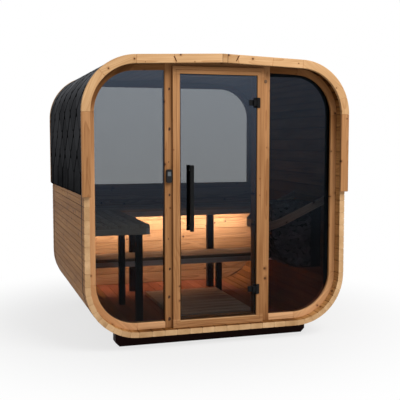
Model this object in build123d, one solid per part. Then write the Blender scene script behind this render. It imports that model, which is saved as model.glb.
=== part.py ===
from build123d import *
from math import sqrt
import os

os.makedirs("parts", exist_ok=True)

# A garden sauna cabin: a rounded square tube of wooden staves lying on two beams, with a glazed
# front wall and door, a half glazed rear wall, benches and a heater inside.
# Millimetres. X to the right, Y to the back, Z up. The origin is under the middle, on the ground.

# Base beams
beam_height = 100.0
beam_depth = 95.0
beam_length = 1510.0
beam_setback = 172.0
beam_end_chamfer = 30.0

# Stave shell
shell_width = 2000.0
shell_height = 2010.0
shell_depth = 1940.0
shell_radius = 385.0
stave_thickness = 40.0
roof_slope = 0.0373

# Trim boards on both ends
fascia_thickness = 28.0
fascia_lap = 15.0
fascia_width = 63.0
fascia_leg_height = 1017.0

# Shingle skin and steel straps on the outside
shingle_thickness = 8.0
shingle_edge_rise = 12.0
strap_width = 20.0
strap_thickness = 1.0
strap_setback = 102.0

# Glazed front wall
front_recess = 69.0
frame_depth = 68.0
frame_width = 48.0
post_width = 55.0
pane_thickness = 8.0
pane_setback = 21.0
groove_depth = 10.0
groove_clearance = 1.0

# Door frame and glass leaf
door_frame_width = 700.0
head_rail_height = 22.0
door_frame_face = 52.0
door_frame_depth = 92.0
door_frame_lead = 23.0
door_lip = 12.0
door_gap = 5.0
leaf_thickness = 8.0
leaf_inset = 10.0

# Door hinges
hinge_height = 74.0
hinge_end_distance = 215.0
hinge_plate_width = 14.0
hinge_plate_thickness = 4.0
knuckle_radius = 8.0
hinge_pin_radius = 4.0
hinge_pin_clearance = 0.3
hinge_plate_corner = 5.0
knuckle_gap = 1.0
clamp_width = 58.0
clamp_height = 42.0
clamp_thickness = 5.0
clamp_bridge = 24.0
clamp_foot = 22.0

# Door handle
handle_length = 480.0
handle_width = 29.0
handle_depth = 16.0
handle_standoff = 34.0
handle_bolt_radius = 5.0
handle_bolt_clearance = 0.3
handle_bolt_inset = 40.0
handle_from_edge = 75.0
handle_edge = 3.0
handle_bottom = 708.0

# Rear wall
rear_recess = 62.0
rear_wall_thickness = 60.0
rear_sill_height = 906.0
rear_rail_height = 48.0
rear_window_head = 67.0
rear_window_side = 91.0
rear_window_radius = 285.0

# Benches
bench_thickness = 72.0
slat_thickness = 26.0
slat_gap = 10.0
rear_slat_count = 4
left_slat_count = 6
lower_slat_count = 3
bearer_width = 45.0
upper_bench_height = 753.0
rear_bench_depth = 416.0
left_bench_width = 465.0
left_bench_gap = 25.0
lower_bench_height = 356.0
lower_bench_lap = 50.0
lower_bench_shift = 20.0
leg_width = 50.0
rear_leg_width = 60.0
rear_leg_places = (-344.0, 395.0)
lower_leg_inset = 544.0
left_leg_inset = 55.0
left_leg_places = (110.0, 760.0)
leg_clearance = 0.3
light_width = 18.0
light_height = 12.0
light_end_gap = 215.0
light_start_gap = 40.0

# Duckboard on the floor
duckboard_width = 659.0
duckboard_height = 30.0
duckboard_side_gap = 6.0
duckboard_front_gap = 187.0
duckboard_rear_gap = 182.0
duckboard_slat_count = 10

# Heater and its guard
heater_width = 460.0
heater_back = 80.0
heater_reach = 350.0
heater_bottom = 345.0
heater_height = 515.0
heater_knee_share = 0.60
heater_foot_share = 0.72
heater_bar = 8.0
heater_bar_count = 9
heater_seat = 0.3
guard_width = 600.0
guard_front_gap = 115.0
guard_reach = 480.0
guard_height = 65.0
guard_thickness = 18.0
guard_drop = 217.0
guard_level = 860.0
guard_corner = 140.0

# Control box on the left post
control_width = 40.0
control_height = 97.0
control_depth = 22.0
control_level = 1062.0
control_corner = 12.0

half = shell_width / 2
shell_base = beam_height
crown = shell_base + shell_height


def crown_at(inset):
    """Height of the crown line of the outline moved in by inset."""
    return crown - inset * sqrt(1 + roof_slope ** 2)


def roof_at(inset, x):
    """Height of the slanted roof line of that outline at x."""
    return crown_at(inset) - roof_slope * abs(x)


shell_front = -shell_depth / 2
shell_rear = shell_depth / 2
floor_level = shell_base + stave_thickness
inner_half = half - stave_thickness
lower_leg_x = inner_half - lower_leg_inset
frame_front = shell_front + front_recess
frame_inset = stave_thickness + frame_width
door_half = door_frame_width / 2
post_outer = door_half + post_width
leaf_half = door_half - door_frame_face - door_gap
door_front = frame_front - door_frame_lead
leaf_front = door_front + leaf_inset
leaf_back = leaf_front + leaf_thickness
frame_top = roof_at(stave_thickness, door_half) - head_rail_height
leaf_bottom = floor_level + door_frame_face + door_gap
leaf_top = frame_top - door_frame_face - door_gap
rear_outside = shell_rear - rear_recess
rear_inside = rear_outside - rear_wall_thickness
fascia_bottom = shell_base + fascia_leg_height


def outline(inset):
    """The rounded square section of the shell, moved in by inset, as a face in the XZ plane."""
    side = half - inset
    low = shell_base + inset
    corners = [
        (-side, low),
        (side, low),
        (side, roof_at(inset, side)),
        (0, crown_at(inset)),
        (-side, roof_at(inset, side)),
    ]
    face = make_face(Polyline(*[Vector(x, 0, z) for x, z in corners], close=True).edges())
    rounded = [v for v in face.vertices() if abs(v.X) > side / 2]
    return fillet(rounded, shell_radius - inset)


def tube(outer_inset, inner_inset, y0, y1):
    """A stretch of the ring between two outlines."""
    ring = outline(outer_inset) - outline(inner_inset)
    return Pos(0, y0, 0) * extrude(ring, amount=y1 - y0, dir=(0, 1, 0))


def plug(inset, y0, y1):
    """A solid filling an outline."""
    return Pos(0, y0, 0) * extrude(outline(inset), amount=y1 - y0, dir=(0, 1, 0))


def wall_at(z):
    """Half the inner width of the shell at a height in its lower half."""
    radius = shell_radius - stave_thickness
    drop = max(shell_base + shell_radius - z, 0)
    return inner_half - radius + sqrt(radius ** 2 - drop ** 2)


def block(x0, x1, y0, y1, z0, z1):
    """A box between two corners."""
    return Pos((x0 + x1) / 2, (y0 + y1) / 2, (z0 + z1) / 2) * Box(x1 - x0, y1 - y0, z1 - z0)


def save(name, *solids):
    """Write one named sub-part."""
    shape = solids[0] if len(solids) == 1 else Compound(children=list(solids))
    export_step(shape, f"parts/{name}.step")


def mirrored(shape):
    """The same piece on the other side of the middle plane."""
    return mirror(shape, about=Plane.YZ)


reach = shell_width


def make_base_beams():
    """Two beams across the cabin, bevelled at the lower ends."""
    profile = make_face(Polyline(
        (-beam_length / 2, 0, beam_end_chamfer),
        (-beam_length / 2 + beam_end_chamfer, 0, 0),
        (beam_length / 2 - beam_end_chamfer, 0, 0),
        (beam_length / 2, 0, beam_end_chamfer),
        (beam_length / 2, 0, beam_height),
        (-beam_length / 2, 0, beam_height),
        close=True,
    ).edges())
    beam = extrude(profile, amount=beam_depth, dir=(0, 1, 0))
    save("base_beam_front", Pos(0, shell_front + beam_setback, 0) * beam)
    save("base_beam_rear", Pos(0, shell_rear - beam_setback - beam_depth, 0) * beam)


def make_shell():
    """The stave tube, cut where its straight walls meet the rounded corners."""
    ring = tube(0, stave_thickness, shell_front, shell_rear)
    straight = half - shell_radius
    low = shell_base + shell_radius
    high = roof_at(0, half) - shell_radius
    y0, y1 = shell_front, shell_rear
    top = crown + reach
    save("shell_floor", ring & block(-straight, straight, y0, y1, 0, low))
    save("shell_roof", ring & block(-straight, straight, y0, y1, high, top))
    left_side = ring & block(-reach, -straight, y0, y1, low, high)
    left_low = ring & block(-reach, -straight, y0, y1, 0, low)
    left_high = ring & block(-reach, -straight, y0, y1, high, top)
    save("shell_left_side", left_side)
    save("shell_right_side", mirrored(left_side))
    save("shell_lower_left_corner", left_low)
    save("shell_lower_right_corner", mirrored(left_low))
    save("shell_upper_left_corner", left_high)
    save("shell_upper_right_corner", mirrored(left_high))


def make_shingle_cover():
    """The shingle skin over the upper half of the shell."""
    skin = tube(-shingle_thickness, 0, shell_front, shell_rear)
    low = fascia_bottom + shingle_edge_rise
    save("shingle_cover", skin & block(-reach, reach, shell_front, shell_rear, low, crown + reach))


def make_straps():
    """Steel straps round the lower half of the shell, one near each end."""
    low = fascia_bottom + shingle_edge_rise
    straps = []
    for y0 in (shell_front + strap_setback, shell_rear - strap_setback - strap_width):
        band = tube(-strap_thickness, 0, y0, y0 + strap_width)
        straps.append(band & block(-reach, reach, y0, y0 + strap_width, 0, low))
    save("shell_straps", *straps)


def make_fascias():
    """The arched trim on both ends, with legs down the sides."""
    inner = fascia_width - fascia_lap
    for name, y0 in (("front_fascia", shell_front - fascia_thickness), ("rear_fascia", shell_rear)):
        y1 = y0 + fascia_thickness
        arch = tube(-fascia_lap, inner, y0, y1)
        save(name, arch & block(-reach, reach, y0, y1, fascia_bottom, crown + reach))


def pane_solid(grow):
    """The glass of a side pane and its groove, on the left, larger all round by grow."""
    y0 = frame_front + pane_setback - grow
    y1 = frame_front + pane_setback + pane_thickness + grow
    edge = frame_inset - groove_depth - grow
    side = plug(edge, y0, y1)
    return side & block(-reach, -post_outer + groove_depth + grow, y0, y1, 0, crown)


def make_front_wall():
    """The glazed front wall: a curved frame, two posts, a head rail and two panes."""
    y0 = frame_front
    y1 = frame_front + frame_depth
    ring = tube(stave_thickness, frame_inset, y0, y1)
    groove = pane_solid(groove_clearance)
    left = (ring & block(-reach, -post_outer, y0, y1, 0, crown)) - groove
    save("front_frame_left", left)
    save("front_frame_right", mirrored(left))
    inside = plug(stave_thickness, y0, y1)
    post = (inside & block(-post_outer, -door_half, y0, y1, 0, crown)) - groove
    save("front_post_left", post)
    save("front_post_right", mirrored(post))
    head = inside & block(-door_half, door_half, y0, y1, frame_top, crown)
    save("front_head_rail", head)
    pane = pane_solid(0)
    save("front_pane_left", pane)
    save("front_pane_right", mirrored(pane))


def make_door_frame():
    """Two jambs, a head and a sill, with a step that the leaf closes against."""
    y0 = door_front
    y1 = door_front + door_frame_depth
    step = leaf_back + door_gap
    face = door_half - door_frame_face
    lip = face - door_lip
    frame = block(-door_half, door_half, y0, y1, floor_level, frame_top)
    low = floor_level + door_frame_face
    high = frame_top - door_frame_face
    frame -= block(-face, face, y0, step, low, high)
    frame -= block(-lip, lip, y0, y1, low + door_lip, high - door_lip)
    save("door_sill", frame & block(-reach, reach, y0, y1, floor_level, low + door_lip))
    save("door_head", frame & block(-reach, reach, y0, y1, high - door_lip, frame_top))
    jamb = frame & block(-door_half, 0, y0, y1, low + door_lip, high - door_lip)
    save("door_jamb_left", jamb)
    save("door_jamb_right", mirrored(jamb))


hinge_x = leaf_half + door_gap / 2
hinge_y = door_front - knuckle_radius
hinge_levels = (floor_level + hinge_end_distance, frame_top - hinge_end_distance - hinge_height)
knuckle_height = (hinge_height - clamp_height) / 2 - knuckle_gap


def cylinder(radius, x, y, z0, z1):
    """An upright round bar."""
    return Pos(x, y, (z0 + z1) / 2) * Cylinder(radius, z1 - z0)


def hinge_bracket(z):
    """The fixed half: a plate on the jamb, two knuckles and the pin."""
    top = z + hinge_height
    plate_x = hinge_x + knuckle_radius + knuckle_gap
    plate = block(plate_x, plate_x + hinge_plate_width, door_front - hinge_plate_thickness, door_front, z, top)
    plate = fillet(plate.edges().filter_by(Axis.Y).sort_by(Axis.X)[-2:], hinge_plate_corner)
    bracket = plate
    for z0, z1 in ((z, z + knuckle_height), (top - knuckle_height, top)):
        web = block(hinge_x, plate_x + 1, door_front - hinge_plate_thickness, door_front, z0, z1)
        bracket += cylinder(knuckle_radius, hinge_x, hinge_y, z0, z1)
        bracket += web
    bracket += cylinder(hinge_pin_radius, hinge_x, hinge_y, z, top)
    return bracket


def hinge_clamp(z):
    """The half on the leaf: a plate on each side of the glass and the middle knuckle."""
    middle = z + hinge_height / 2
    z0 = middle - clamp_height / 2
    z1 = middle + clamp_height / 2
    x1 = leaf_half - 2
    x0 = leaf_half - clamp_width
    inner_x1 = leaf_half - clamp_bridge
    front_y0 = leaf_front - clamp_thickness
    front = block(x0, x1, front_y0, leaf_front, z0, z1)
    back = block(x0, inner_x1, leaf_back, leaf_back + clamp_thickness, z0, z1)
    foot = block(x1 - clamp_foot, x1, front_y0, leaf_front, z, z + hinge_height)
    clamp = front + foot + cylinder(knuckle_radius, hinge_x, hinge_y, z0, z1)
    clamp += block(x1 - clamp_bridge, hinge_x, hinge_y - 2, front_y0 + 1, z0, z1)
    bolt_x = (x0 + inner_x1) / 2
    clamp += back
    clamp += Pos(bolt_x, (leaf_front + leaf_back) / 2, middle) * Rot(90, 0, 0) * Cylinder(
        handle_bolt_radius, leaf_thickness)
    clamp -= cylinder(hinge_pin_radius + hinge_pin_clearance, hinge_x, hinge_y, z0, z1)
    return clamp


def make_hinges():
    """Both halves of the two hinges."""
    save("hinge_brackets", *[hinge_bracket(z) for z in hinge_levels])
    save("door_hinge_clamps", *[hinge_clamp(z) for z in hinge_levels])


handle_x = -leaf_half + handle_from_edge
handle_z = floor_level + handle_bottom


def handle_bolts(radius, y0, y1):
    """The two bolts through the glass."""
    bolts = []
    for z in (handle_z + handle_bolt_inset, handle_z + handle_length - handle_bolt_inset):
        bolts.append(Pos(handle_x, (y0 + y1) / 2, z) * Rot(90, 0, 0) * Cylinder(radius, y1 - y0))
    return bolts


def make_door_leaf():
    """The glass leaf with holes for the handle and the hinge bolts."""
    leaf = block(-leaf_half, leaf_half, leaf_front, leaf_back, leaf_bottom, leaf_top)
    for bolt in handle_bolts(handle_bolt_radius + handle_bolt_clearance, leaf_front, leaf_back):
        leaf -= bolt
    bolt_x = leaf_half - (clamp_width + clamp_bridge) / 2
    for z in hinge_levels:
        hole = Pos(bolt_x, (leaf_front + leaf_back) / 2, z + hinge_height / 2) * Rot(90, 0, 0) * Cylinder(
            handle_bolt_radius + handle_bolt_clearance, leaf_thickness)
        leaf -= hole
    save("door_glass", leaf)


def make_handle():
    """A flat bar on each side of the glass, joined by two bolts."""
    front_y1 = leaf_front - handle_standoff
    back_y0 = leaf_back + handle_standoff
    handle = None
    for y0 in (front_y1 - handle_depth, back_y0):
        bar = block(handle_x - handle_width / 2, handle_x + handle_width / 2,
                    y0, y0 + handle_depth, handle_z, handle_z + handle_length)
        bar = fillet(bar.edges().filter_by(Axis.Z), handle_edge)
        handle = bar if handle is None else handle + bar
    for bolt in handle_bolts(handle_bolt_radius, front_y1 - 1, back_y0 + 1):
        handle += bolt
    save("door_handle", handle)


def rear_window(grow, y0, y1):
    """The window shape: flat top with rounded upper corners."""
    side = half - rear_window_side + grow
    low = floor_level + rear_sill_height + rear_rail_height - grow
    high = crown_at(stave_thickness) - rear_window_head + grow
    shape = block(-side, side, y0, y1, low, high)
    upper = shape.edges().filter_by(Axis.Y).group_by(Axis.Z)[-1]
    return fillet(upper, rear_window_radius + grow)


def make_rear_wall():
    """Boards below, a sill rail, a frame round the window and its pane."""
    y0, y1 = rear_inside, rear_outside
    sill = floor_level + rear_sill_height
    rail_top = sill + rear_rail_height
    inside = plug(stave_thickness, y0, y1)
    pane_y0 = (y0 + y1 - pane_thickness) / 2
    pane_y1 = pane_y0 + pane_thickness
    c = groove_clearance
    groove = rear_window(groove_depth + c, pane_y0 - c, pane_y1 + c)
    save("rear_wall_boards", inside & block(-reach, reach, y0, y1, 0, sill))
    save("rear_sill_rail", (inside & block(-reach, reach, y0, y1, sill, rail_top)) - groove)
    frame = inside & block(-reach, reach, y0, y1, rail_top, crown + reach)
    frame -= rear_window(0, y0, y1)
    save("rear_window_frame", frame - groove)
    save("rear_window_pane", rear_window(groove_depth, pane_y0, pane_y1))


def slatted(x0, x1, y0, y1, top, along_x, count, bearers):
    """A bench: slats on bearers, with a front board as high as the whole bench."""
    low = top - bench_thickness
    under = top - slat_thickness
    width = (y1 - y0) if along_x else (x1 - x0)
    slat = (width - (count - 1) * slat_gap) / count
    bench = None
    for i in range(count):
        a = i * (slat + slat_gap)
        if along_x:
            piece = block(x0, x1, y0 + a, y0 + a + slat, under, top)
        else:
            piece = block(x1 - a - slat, x1 - a, y0, y1, under, top)
        bench = piece if bench is None else bench + piece
    for b in bearers:
        if along_x:
            bench += block(b, b + bearer_width, y0, y1, low, under)
        else:
            bench += block(x0, x1, b, b + bearer_width, low, under)
    if along_x:
        bench += block(x0, x1, y0, y0 + slat_thickness, low, under)
    else:
        bench += block(x1 - slat_thickness, x1, y0, y1, low, under)
    return bench


upper_top = floor_level + upper_bench_height
upper_under = upper_top - bench_thickness
lower_top = floor_level + lower_bench_height
lower_under = lower_top - bench_thickness
rear_bench_front = rear_inside - rear_bench_depth
left_bench_edge = -inner_half + left_bench_width
left_bench_front = frame_front + frame_depth + left_bench_gap
guard_front = frame_front + frame_depth + guard_front_gap
heater_front = guard_front + (guard_width - heater_width) / 2
lower_bench_front = (heater_front + heater_width + rear_bench_front) / 2 + lower_bench_shift
lower_bench_rear = rear_bench_front + lower_bench_lap


def make_benches():
    """An upper bench round the corner, a lower bench in front of it, and their legs."""
    x0, x1 = -inner_half, inner_half
    ends = (x0, -bearer_width / 2, x1 - bearer_width)
    save("rear_bench", slatted(x0, x1, rear_bench_front, rear_inside, upper_top, True, rear_slat_count, ends))
    length = rear_bench_front - left_bench_front
    places = (left_bench_front, left_bench_front + (length - bearer_width) / 2, rear_bench_front - bearer_width)
    save("left_bench", slatted(x0, left_bench_edge, left_bench_front, rear_bench_front, upper_top, False,
                               left_slat_count, places))
    low_end = wall_at(lower_under)
    low_ends = (-low_end, -bearer_width / 2, low_end - bearer_width)
    save("lower_bench", slatted(-low_end, low_end, lower_bench_front, lower_bench_rear, lower_top, True,
                                lower_slat_count, low_ends))
    legs = []
    y0 = lower_bench_rear + leg_clearance
    for x in rear_leg_places:
        legs.append(block(x - rear_leg_width / 2, x + rear_leg_width / 2,
                          y0, y0 + bearer_width, floor_level, upper_under))
    leg_x = left_bench_edge - left_leg_inset
    for place in left_leg_places:
        y = left_bench_front + place
        legs.append(block(leg_x - leg_width / 2, leg_x + leg_width / 2, y, y + bearer_width,
                          floor_level, upper_under))
    save("upper_bench_legs", *legs)
    y = (lower_bench_front + lower_bench_rear - bearer_width) / 2
    save("lower_bench_legs", block(lower_leg_x - leg_width / 2, lower_leg_x + leg_width / 2,
                                   y, y + bearer_width, floor_level, lower_under))
    save("bench_light", block(light_start_gap - inner_half, inner_half - light_end_gap,
                              rear_inside - light_width, rear_inside,
                              upper_under - light_height, upper_under))


def make_duckboard():
    """A loose slatted board on the floor: slats across the room on three bearers."""
    x1 = lower_leg_x - leg_width / 2 - duckboard_side_gap
    x0 = x1 - duckboard_width
    y0 = door_front + door_frame_depth + duckboard_front_gap
    y1 = lower_bench_rear - duckboard_rear_gap
    slat = (y1 - y0 - (duckboard_slat_count - 1) * slat_gap) / duckboard_slat_count
    half_height = duckboard_height / 2
    board = None
    for i in range(duckboard_slat_count):
        a = y0 + i * (slat + slat_gap)
        piece = block(x0, x1, a, a + slat, floor_level + half_height, floor_level + duckboard_height)
        board = piece if board is None else board + piece
    for place in (x0, (x0 + x1 - bearer_width) / 2, x1 - bearer_width):
        board += block(place, place + bearer_width, y0, y1, floor_level, floor_level + half_height)
    save("duckboard", board)


def make_heater():
    """A box on the wall, a curved cage of bars in front of it and the stones in the cage."""
    y0 = heater_front
    y1 = y0 + heater_width
    z0 = floor_level + heater_bottom
    z1 = z0 + heater_height
    back_x = inner_half - heater_back
    box = extrude(heater_box_section(back_x, z0, z1), amount=heater_width, dir=(0, 1, 0))
    save("heater_box", Pos(0, y0, 0) * box)
    front_x = back_x - heater_reach
    stones_in = heater_bar + heater_seat
    profile = heater_profile(back_x, front_x + stones_in, z0 + stones_in, z1)
    inner = heater_width - 2 * stones_in
    save("heater_stones", Pos(0, y0 + stones_in, 0) * extrude(profile, amount=inner, dir=(0, 1, 0)))
    outer = heater_profile(back_x, front_x, z0, z1)
    hollow = heater_profile(back_x, front_x + heater_bar, z0 + heater_bar, z1)
    strip = outer - hollow
    cage = None
    pitch = (heater_width - heater_bar) / (heater_bar_count - 1)
    for i in range(heater_bar_count):
        bar = Pos(0, y0 + i * pitch, 0) * extrude(strip, amount=heater_bar, dir=(0, 1, 0))
        cage = bar if cage is None else cage + bar
    band = extrude(strip, amount=heater_width, dir=(0, 1, 0))
    band = Pos(0, y0, 0) * band
    for z in (z1 - 2 * heater_bar, z0 + heater_height * 0.55):
        cage += band & block(front_x - 1, inner_half, y0, y1, z, z + 2 * heater_bar)
    save("heater_cage", cage)


def heater_box_section(back_x, z0, z1):
    """Upright section of the box on the wall, bevelled where the shell's lower corner begins."""
    knee = shell_base + shell_radius
    corners = [(back_x, 0, z0), (wall_at(z0), 0, z0)]
    if z0 < knee:
        corners.append((inner_half, 0, knee))
    corners += [(inner_half, 0, z1), (back_x, 0, z1)]
    return make_face(Polyline(*corners, close=True).edges())


def heater_profile(back_x, front_x, z0, z1):
    """Upright section of the heater: a straight top, a round front and a flat floor."""
    depth = back_x - front_x
    knee = z0 + (z1 - z0) * heater_knee_share
    top_front = Vector(front_x, 0, z1)
    knee_point = Vector(front_x, 0, knee)
    foot = Vector(front_x + depth * heater_foot_share, 0, z0)
    curve = Bezier(knee_point, Vector(front_x, 0, (z0 + knee) / 2),
                   Vector(front_x + depth * heater_foot_share / 2, 0, z0), foot)
    lines = [
        Line(top_front, knee_point),
        curve,
        Line(foot, Vector(back_x, 0, z0)),
        Line(Vector(back_x, 0, z0), Vector(back_x, 0, z1)),
        Line(Vector(back_x, 0, z1), top_front),
    ]
    edges = [edge for line in lines for edge in line.edges()]
    return make_face(edges)


def make_heater_guard():
    """A bent wooden band round the heater, sloping down from the wall."""
    y0 = guard_front
    middle = y0 + guard_width / 2
    z = floor_level + guard_level
    outer = bent_band(guard_reach, guard_width, middle, guard_corner)
    inner = bent_band(guard_reach - guard_thickness, guard_width - 2 * guard_thickness, middle,
                      guard_corner - guard_thickness)
    ring = outer - inner
    slope = guard_drop / guard_reach
    band = extrude(Pos(0, 0, z - guard_drop - guard_height) * ring, amount=guard_drop + 2 * guard_height)
    wedge = make_face(Polyline(
        (inner_half, y0, z),
        (inner_half, y0, z + guard_height),
        (inner_half - guard_reach, y0, z + guard_height - guard_drop),
        (inner_half - guard_reach, y0, z - guard_drop),
        close=True,
    ).edges())
    save("heater_guard", band & extrude(wedge, amount=guard_width, dir=(0, 1, 0)))


def bent_band(depth, width, middle, radius):
    """Plan shape of the guard: straight arms and round corners, open at the wall."""
    shape = Pos(inner_half - depth / 2, middle, 0) * Rectangle(depth, width)
    front = shape.vertices().sort_by(Axis.X)[:2]
    return fillet(front, radius)


def make_control():
    """The small box on the left post."""
    x = -(door_half + post_outer) / 2
    z = floor_level + control_level
    body = block(x - control_width / 2, x + control_width / 2, frame_front - control_depth, frame_front,
                 z, z + control_height)
    body = fillet(body.edges().filter_by(Axis.Y), control_corner)
    save("control_box", body)


make_base_beams()
make_shell()
make_shingle_cover()
make_straps()
make_fascias()
make_front_wall()
make_door_frame()
make_hinges()
make_door_leaf()
make_handle()
make_rear_wall()
make_benches()
make_duckboard()
make_heater()
make_heater_guard()
make_control()
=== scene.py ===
"""Dresses the sauna cabin: staves, shingles, trim, glass, benches, heater, light and stage.

Metres, Z up, the front faces minus Y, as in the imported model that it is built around.
"""

import math

import bpy
import numpy as np
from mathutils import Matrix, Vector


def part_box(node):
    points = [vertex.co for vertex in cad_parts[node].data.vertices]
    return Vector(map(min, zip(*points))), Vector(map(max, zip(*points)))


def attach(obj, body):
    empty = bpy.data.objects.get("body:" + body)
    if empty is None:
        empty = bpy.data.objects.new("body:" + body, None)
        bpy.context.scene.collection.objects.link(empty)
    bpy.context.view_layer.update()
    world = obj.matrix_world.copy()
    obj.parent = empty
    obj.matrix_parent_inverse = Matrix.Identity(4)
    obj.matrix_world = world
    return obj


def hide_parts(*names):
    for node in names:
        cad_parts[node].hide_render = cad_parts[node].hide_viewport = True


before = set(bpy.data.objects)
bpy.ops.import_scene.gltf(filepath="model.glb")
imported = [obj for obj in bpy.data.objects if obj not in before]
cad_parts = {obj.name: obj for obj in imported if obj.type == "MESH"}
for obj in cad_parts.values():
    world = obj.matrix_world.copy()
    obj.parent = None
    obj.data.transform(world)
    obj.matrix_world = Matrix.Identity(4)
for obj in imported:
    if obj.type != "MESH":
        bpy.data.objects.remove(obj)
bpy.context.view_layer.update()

bl_info = {
    "name": "Sauna cabin",
    "version": (1, 0, 0),
    "blender": (4, 5, 0),
    "location": "3D View > Sidebar > Sauna",
    "description": "Builds the staves, shingles, trim, glass and inside of a garden sauna cabin",
    "category": "Object",
}


def low(node):
    """Lowest corner of a node."""
    return np.array(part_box(node)[0])


def high(node):
    """Highest corner of a node."""
    return np.array(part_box(node)[1])


# The shell's outline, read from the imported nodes
HALF = -low("shell_left_side")[0]
BASE = low("shell_floor")[2]
CROWN = high("shell_roof")[2]
FRONT = low("shell_left_side")[1]
REAR = high("shell_left_side")[1]
THICK = high("shell_left_side")[0] + HALF
FLAT = high("shell_floor")[0]
RADIUS = HALF - FLAT
KNEE = BASE + RADIUS
SLOPE = (CROWN - RADIUS - high("shell_left_side")[2]) / HALF
SLANT = math.atan(SLOPE)
SHOULDER = CROWN - SLOPE * FLAT - RADIUS / math.cos(SLANT)
TURN = math.pi / 2 - SLANT

# Lengths along the outline, from the middle of the floor up the right side to the crown
AT_CORNER = FLAT
AT_SIDE = AT_CORNER + RADIUS * math.pi / 2
AT_SHOULDER = AT_SIDE + SHOULDER - KNEE
AT_ROOF = AT_SHOULDER + RADIUS * TURN
ROOF_X = FLAT + RADIUS * math.sin(SLANT)
AT_CROWN = AT_ROOF + ROOF_X / math.cos(SLANT)
ROUND = 2 * AT_CROWN

# Width of the frames of the front wall, inside the staves
FRAME_WIDTH = 0.048
# Painted light and shade on those frames: how much paler they are, by the length up either side, paler at
# the foot and darker under the arch
FRAME_PAINTED_LIGHT = ((AT_CORNER, AT_SIDE, AT_SHOULDER - 0.35, AT_SHOULDER + 0.2, AT_ROOF, AT_CROWN),
                (5.2, 2.2, 0.6, -4.8, -4.0, -3.4))
# Painted shade on the posts and the door's jambs: their tone at the foot, darker than at the head
FOOT_PAINTED_SHADE = -2.1

# Painted shade on a stave's inner side: its tone between the two end walls, high up and lower down, and
# darkest just behind the glass on the right, where the frame's shadow falls
HIGH_INSIDE_SHADE, LOW_INSIDE_SHADE, SHADOW_BEHIND_GLASS = -4.0, -2.8, -9.0
# Painted light and shade on it in front of and behind those walls, by the length up either side: darker near
# the floor and under the roof, paler on the sides
RECESS_PAINTED_LIGHT = ((AT_CORNER - 0.05, AT_CORNER + 0.1, AT_SHOULDER - 0.3, AT_SHOULDER, AT_SHOULDER + 0.2),
                 (-5.0, 3.5, 3.5, -1.5, -7.0))
# How much darker a stave is along the bevels where two staves meet
GROOVE_TONE = -4.0

# Painted light and shade on the shingles: how much paler they are, by the length down from the crown, palest
# where the roof bends into the sides, as a painted sheen of the sky, and darker towards the eave
SHINGLE_PAINTED_LIGHT = ((0.0, 0.6, 0.8, 0.94, 1.04, 1.13, 1.3, 1.6, 1.75),
                (3.0, 4.0, 8.0, 6.5, 2.5, -0.1, -0.5, -1.4, -2.2))
# The tone along a tab's sides, its two upper sections and its lower edge: a darker printed band with painted
# shadow along the sides and the lower edge, and painted shadow under the row above on the upper sections
BORDER_PRINT_AND_SHADE = (-3.4, -4.0, -2.6)
# How much brighter one step of tone makes a gritty finish
TONE_STEP = 0.28

# How far apart the places are that boards are cut from
LOG_STEP = 7.0


def colour(red, green, blue):
    """Linear colour with full alpha from one as a screen shows it, 0 to 255."""
    values = np.array([red, green, blue]) / 255
    linear = np.where(values <= 0.04045, values / 12.92, ((values + 0.055) / 1.055) ** 2.4)
    return (*[float(v) for v in linear], 1.0)


def plain(red, green, blue):
    """The same without alpha, as a colour property's default."""
    return colour(red, green, blue)[:3]


def length_property(name, about, default):
    """A length in metres for the sidebar."""
    return bpy.props.FloatProperty(name=name, description=about, default=default, min=0.0,
                                   unit="LENGTH", subtype="DISTANCE")


def colour_property(name, about, default):
    """A colour for the sidebar."""
    return bpy.props.FloatVectorProperty(name=name, description=about, default=default,
                                         subtype="COLOR", size=3, min=0.0, max=1.0)


def count_property(name, about, default):
    """A number of things for the sidebar."""
    return bpy.props.IntProperty(name=name, description=about, default=default, min=1)


class SaunaWoodSettings(bpy.types.PropertyGroup):
    """Colours of the wood."""

    arch_early: colour_property("Arch early wood", "Light part of the arch's wood", plain(206, 164, 118))
    arch_late: colour_property("Arch late wood", "Dark part of the arch's wood", plain(164, 112, 66))
    frame_early: colour_property("Frame early wood", "Light part of the frames' wood", plain(180, 131, 87))
    frame_late: colour_property("Frame late wood", "Dark part of the frames' wood", plain(128, 81, 46))
    stave_early: colour_property("Stave early wood", "Light part of the staves' wood", plain(166, 117, 67))
    stave_late: colour_property("Stave late wood", "Dark part of the staves' wood", plain(108, 67, 33))
    knot: colour_property("Knot", "Colour of the knots", plain(66, 36, 22))
    end: colour_property("End grain", "Sawn ends of the staves", plain(220, 181, 136))
    floor_early: colour_property("Floor early wood", "Light part of the floor inside", plain(148, 88, 60))
    floor_late: colour_property("Floor late wood", "Dark part of the floor inside", plain(95, 51, 34))
    bench_early: colour_property("Bench early wood", "Light part of the bench wood", plain(226, 212, 196))
    bench_late: colour_property("Bench late wood", "Dark part of the bench wood", plain(158, 142, 130))
    # Painted shade: the legs are darker than the benches, as the benches shade them
    leg_early: colour_property("Leg early wood", "Light part of the bench legs", plain(70, 62, 58))
    leg_late: colour_property("Leg late wood", "Dark part of the bench legs", plain(44, 38, 36))
    beam_early: colour_property("Beam early wood", "Light part of the base beams", plain(30, 11, 9))
    beam_late: colour_property("Beam late wood", "Dark part of the base beams", plain(17.5, 5, 4))
    ring_width: length_property("Ring width", "Width of a year ring", 0.0042)
    tone_spread: bpy.props.FloatProperty(name="Tone spread", default=0.5, min=0.0, max=2.0,
                                         description="How much the boards differ in tone",
                                         subtype="FACTOR")


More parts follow.
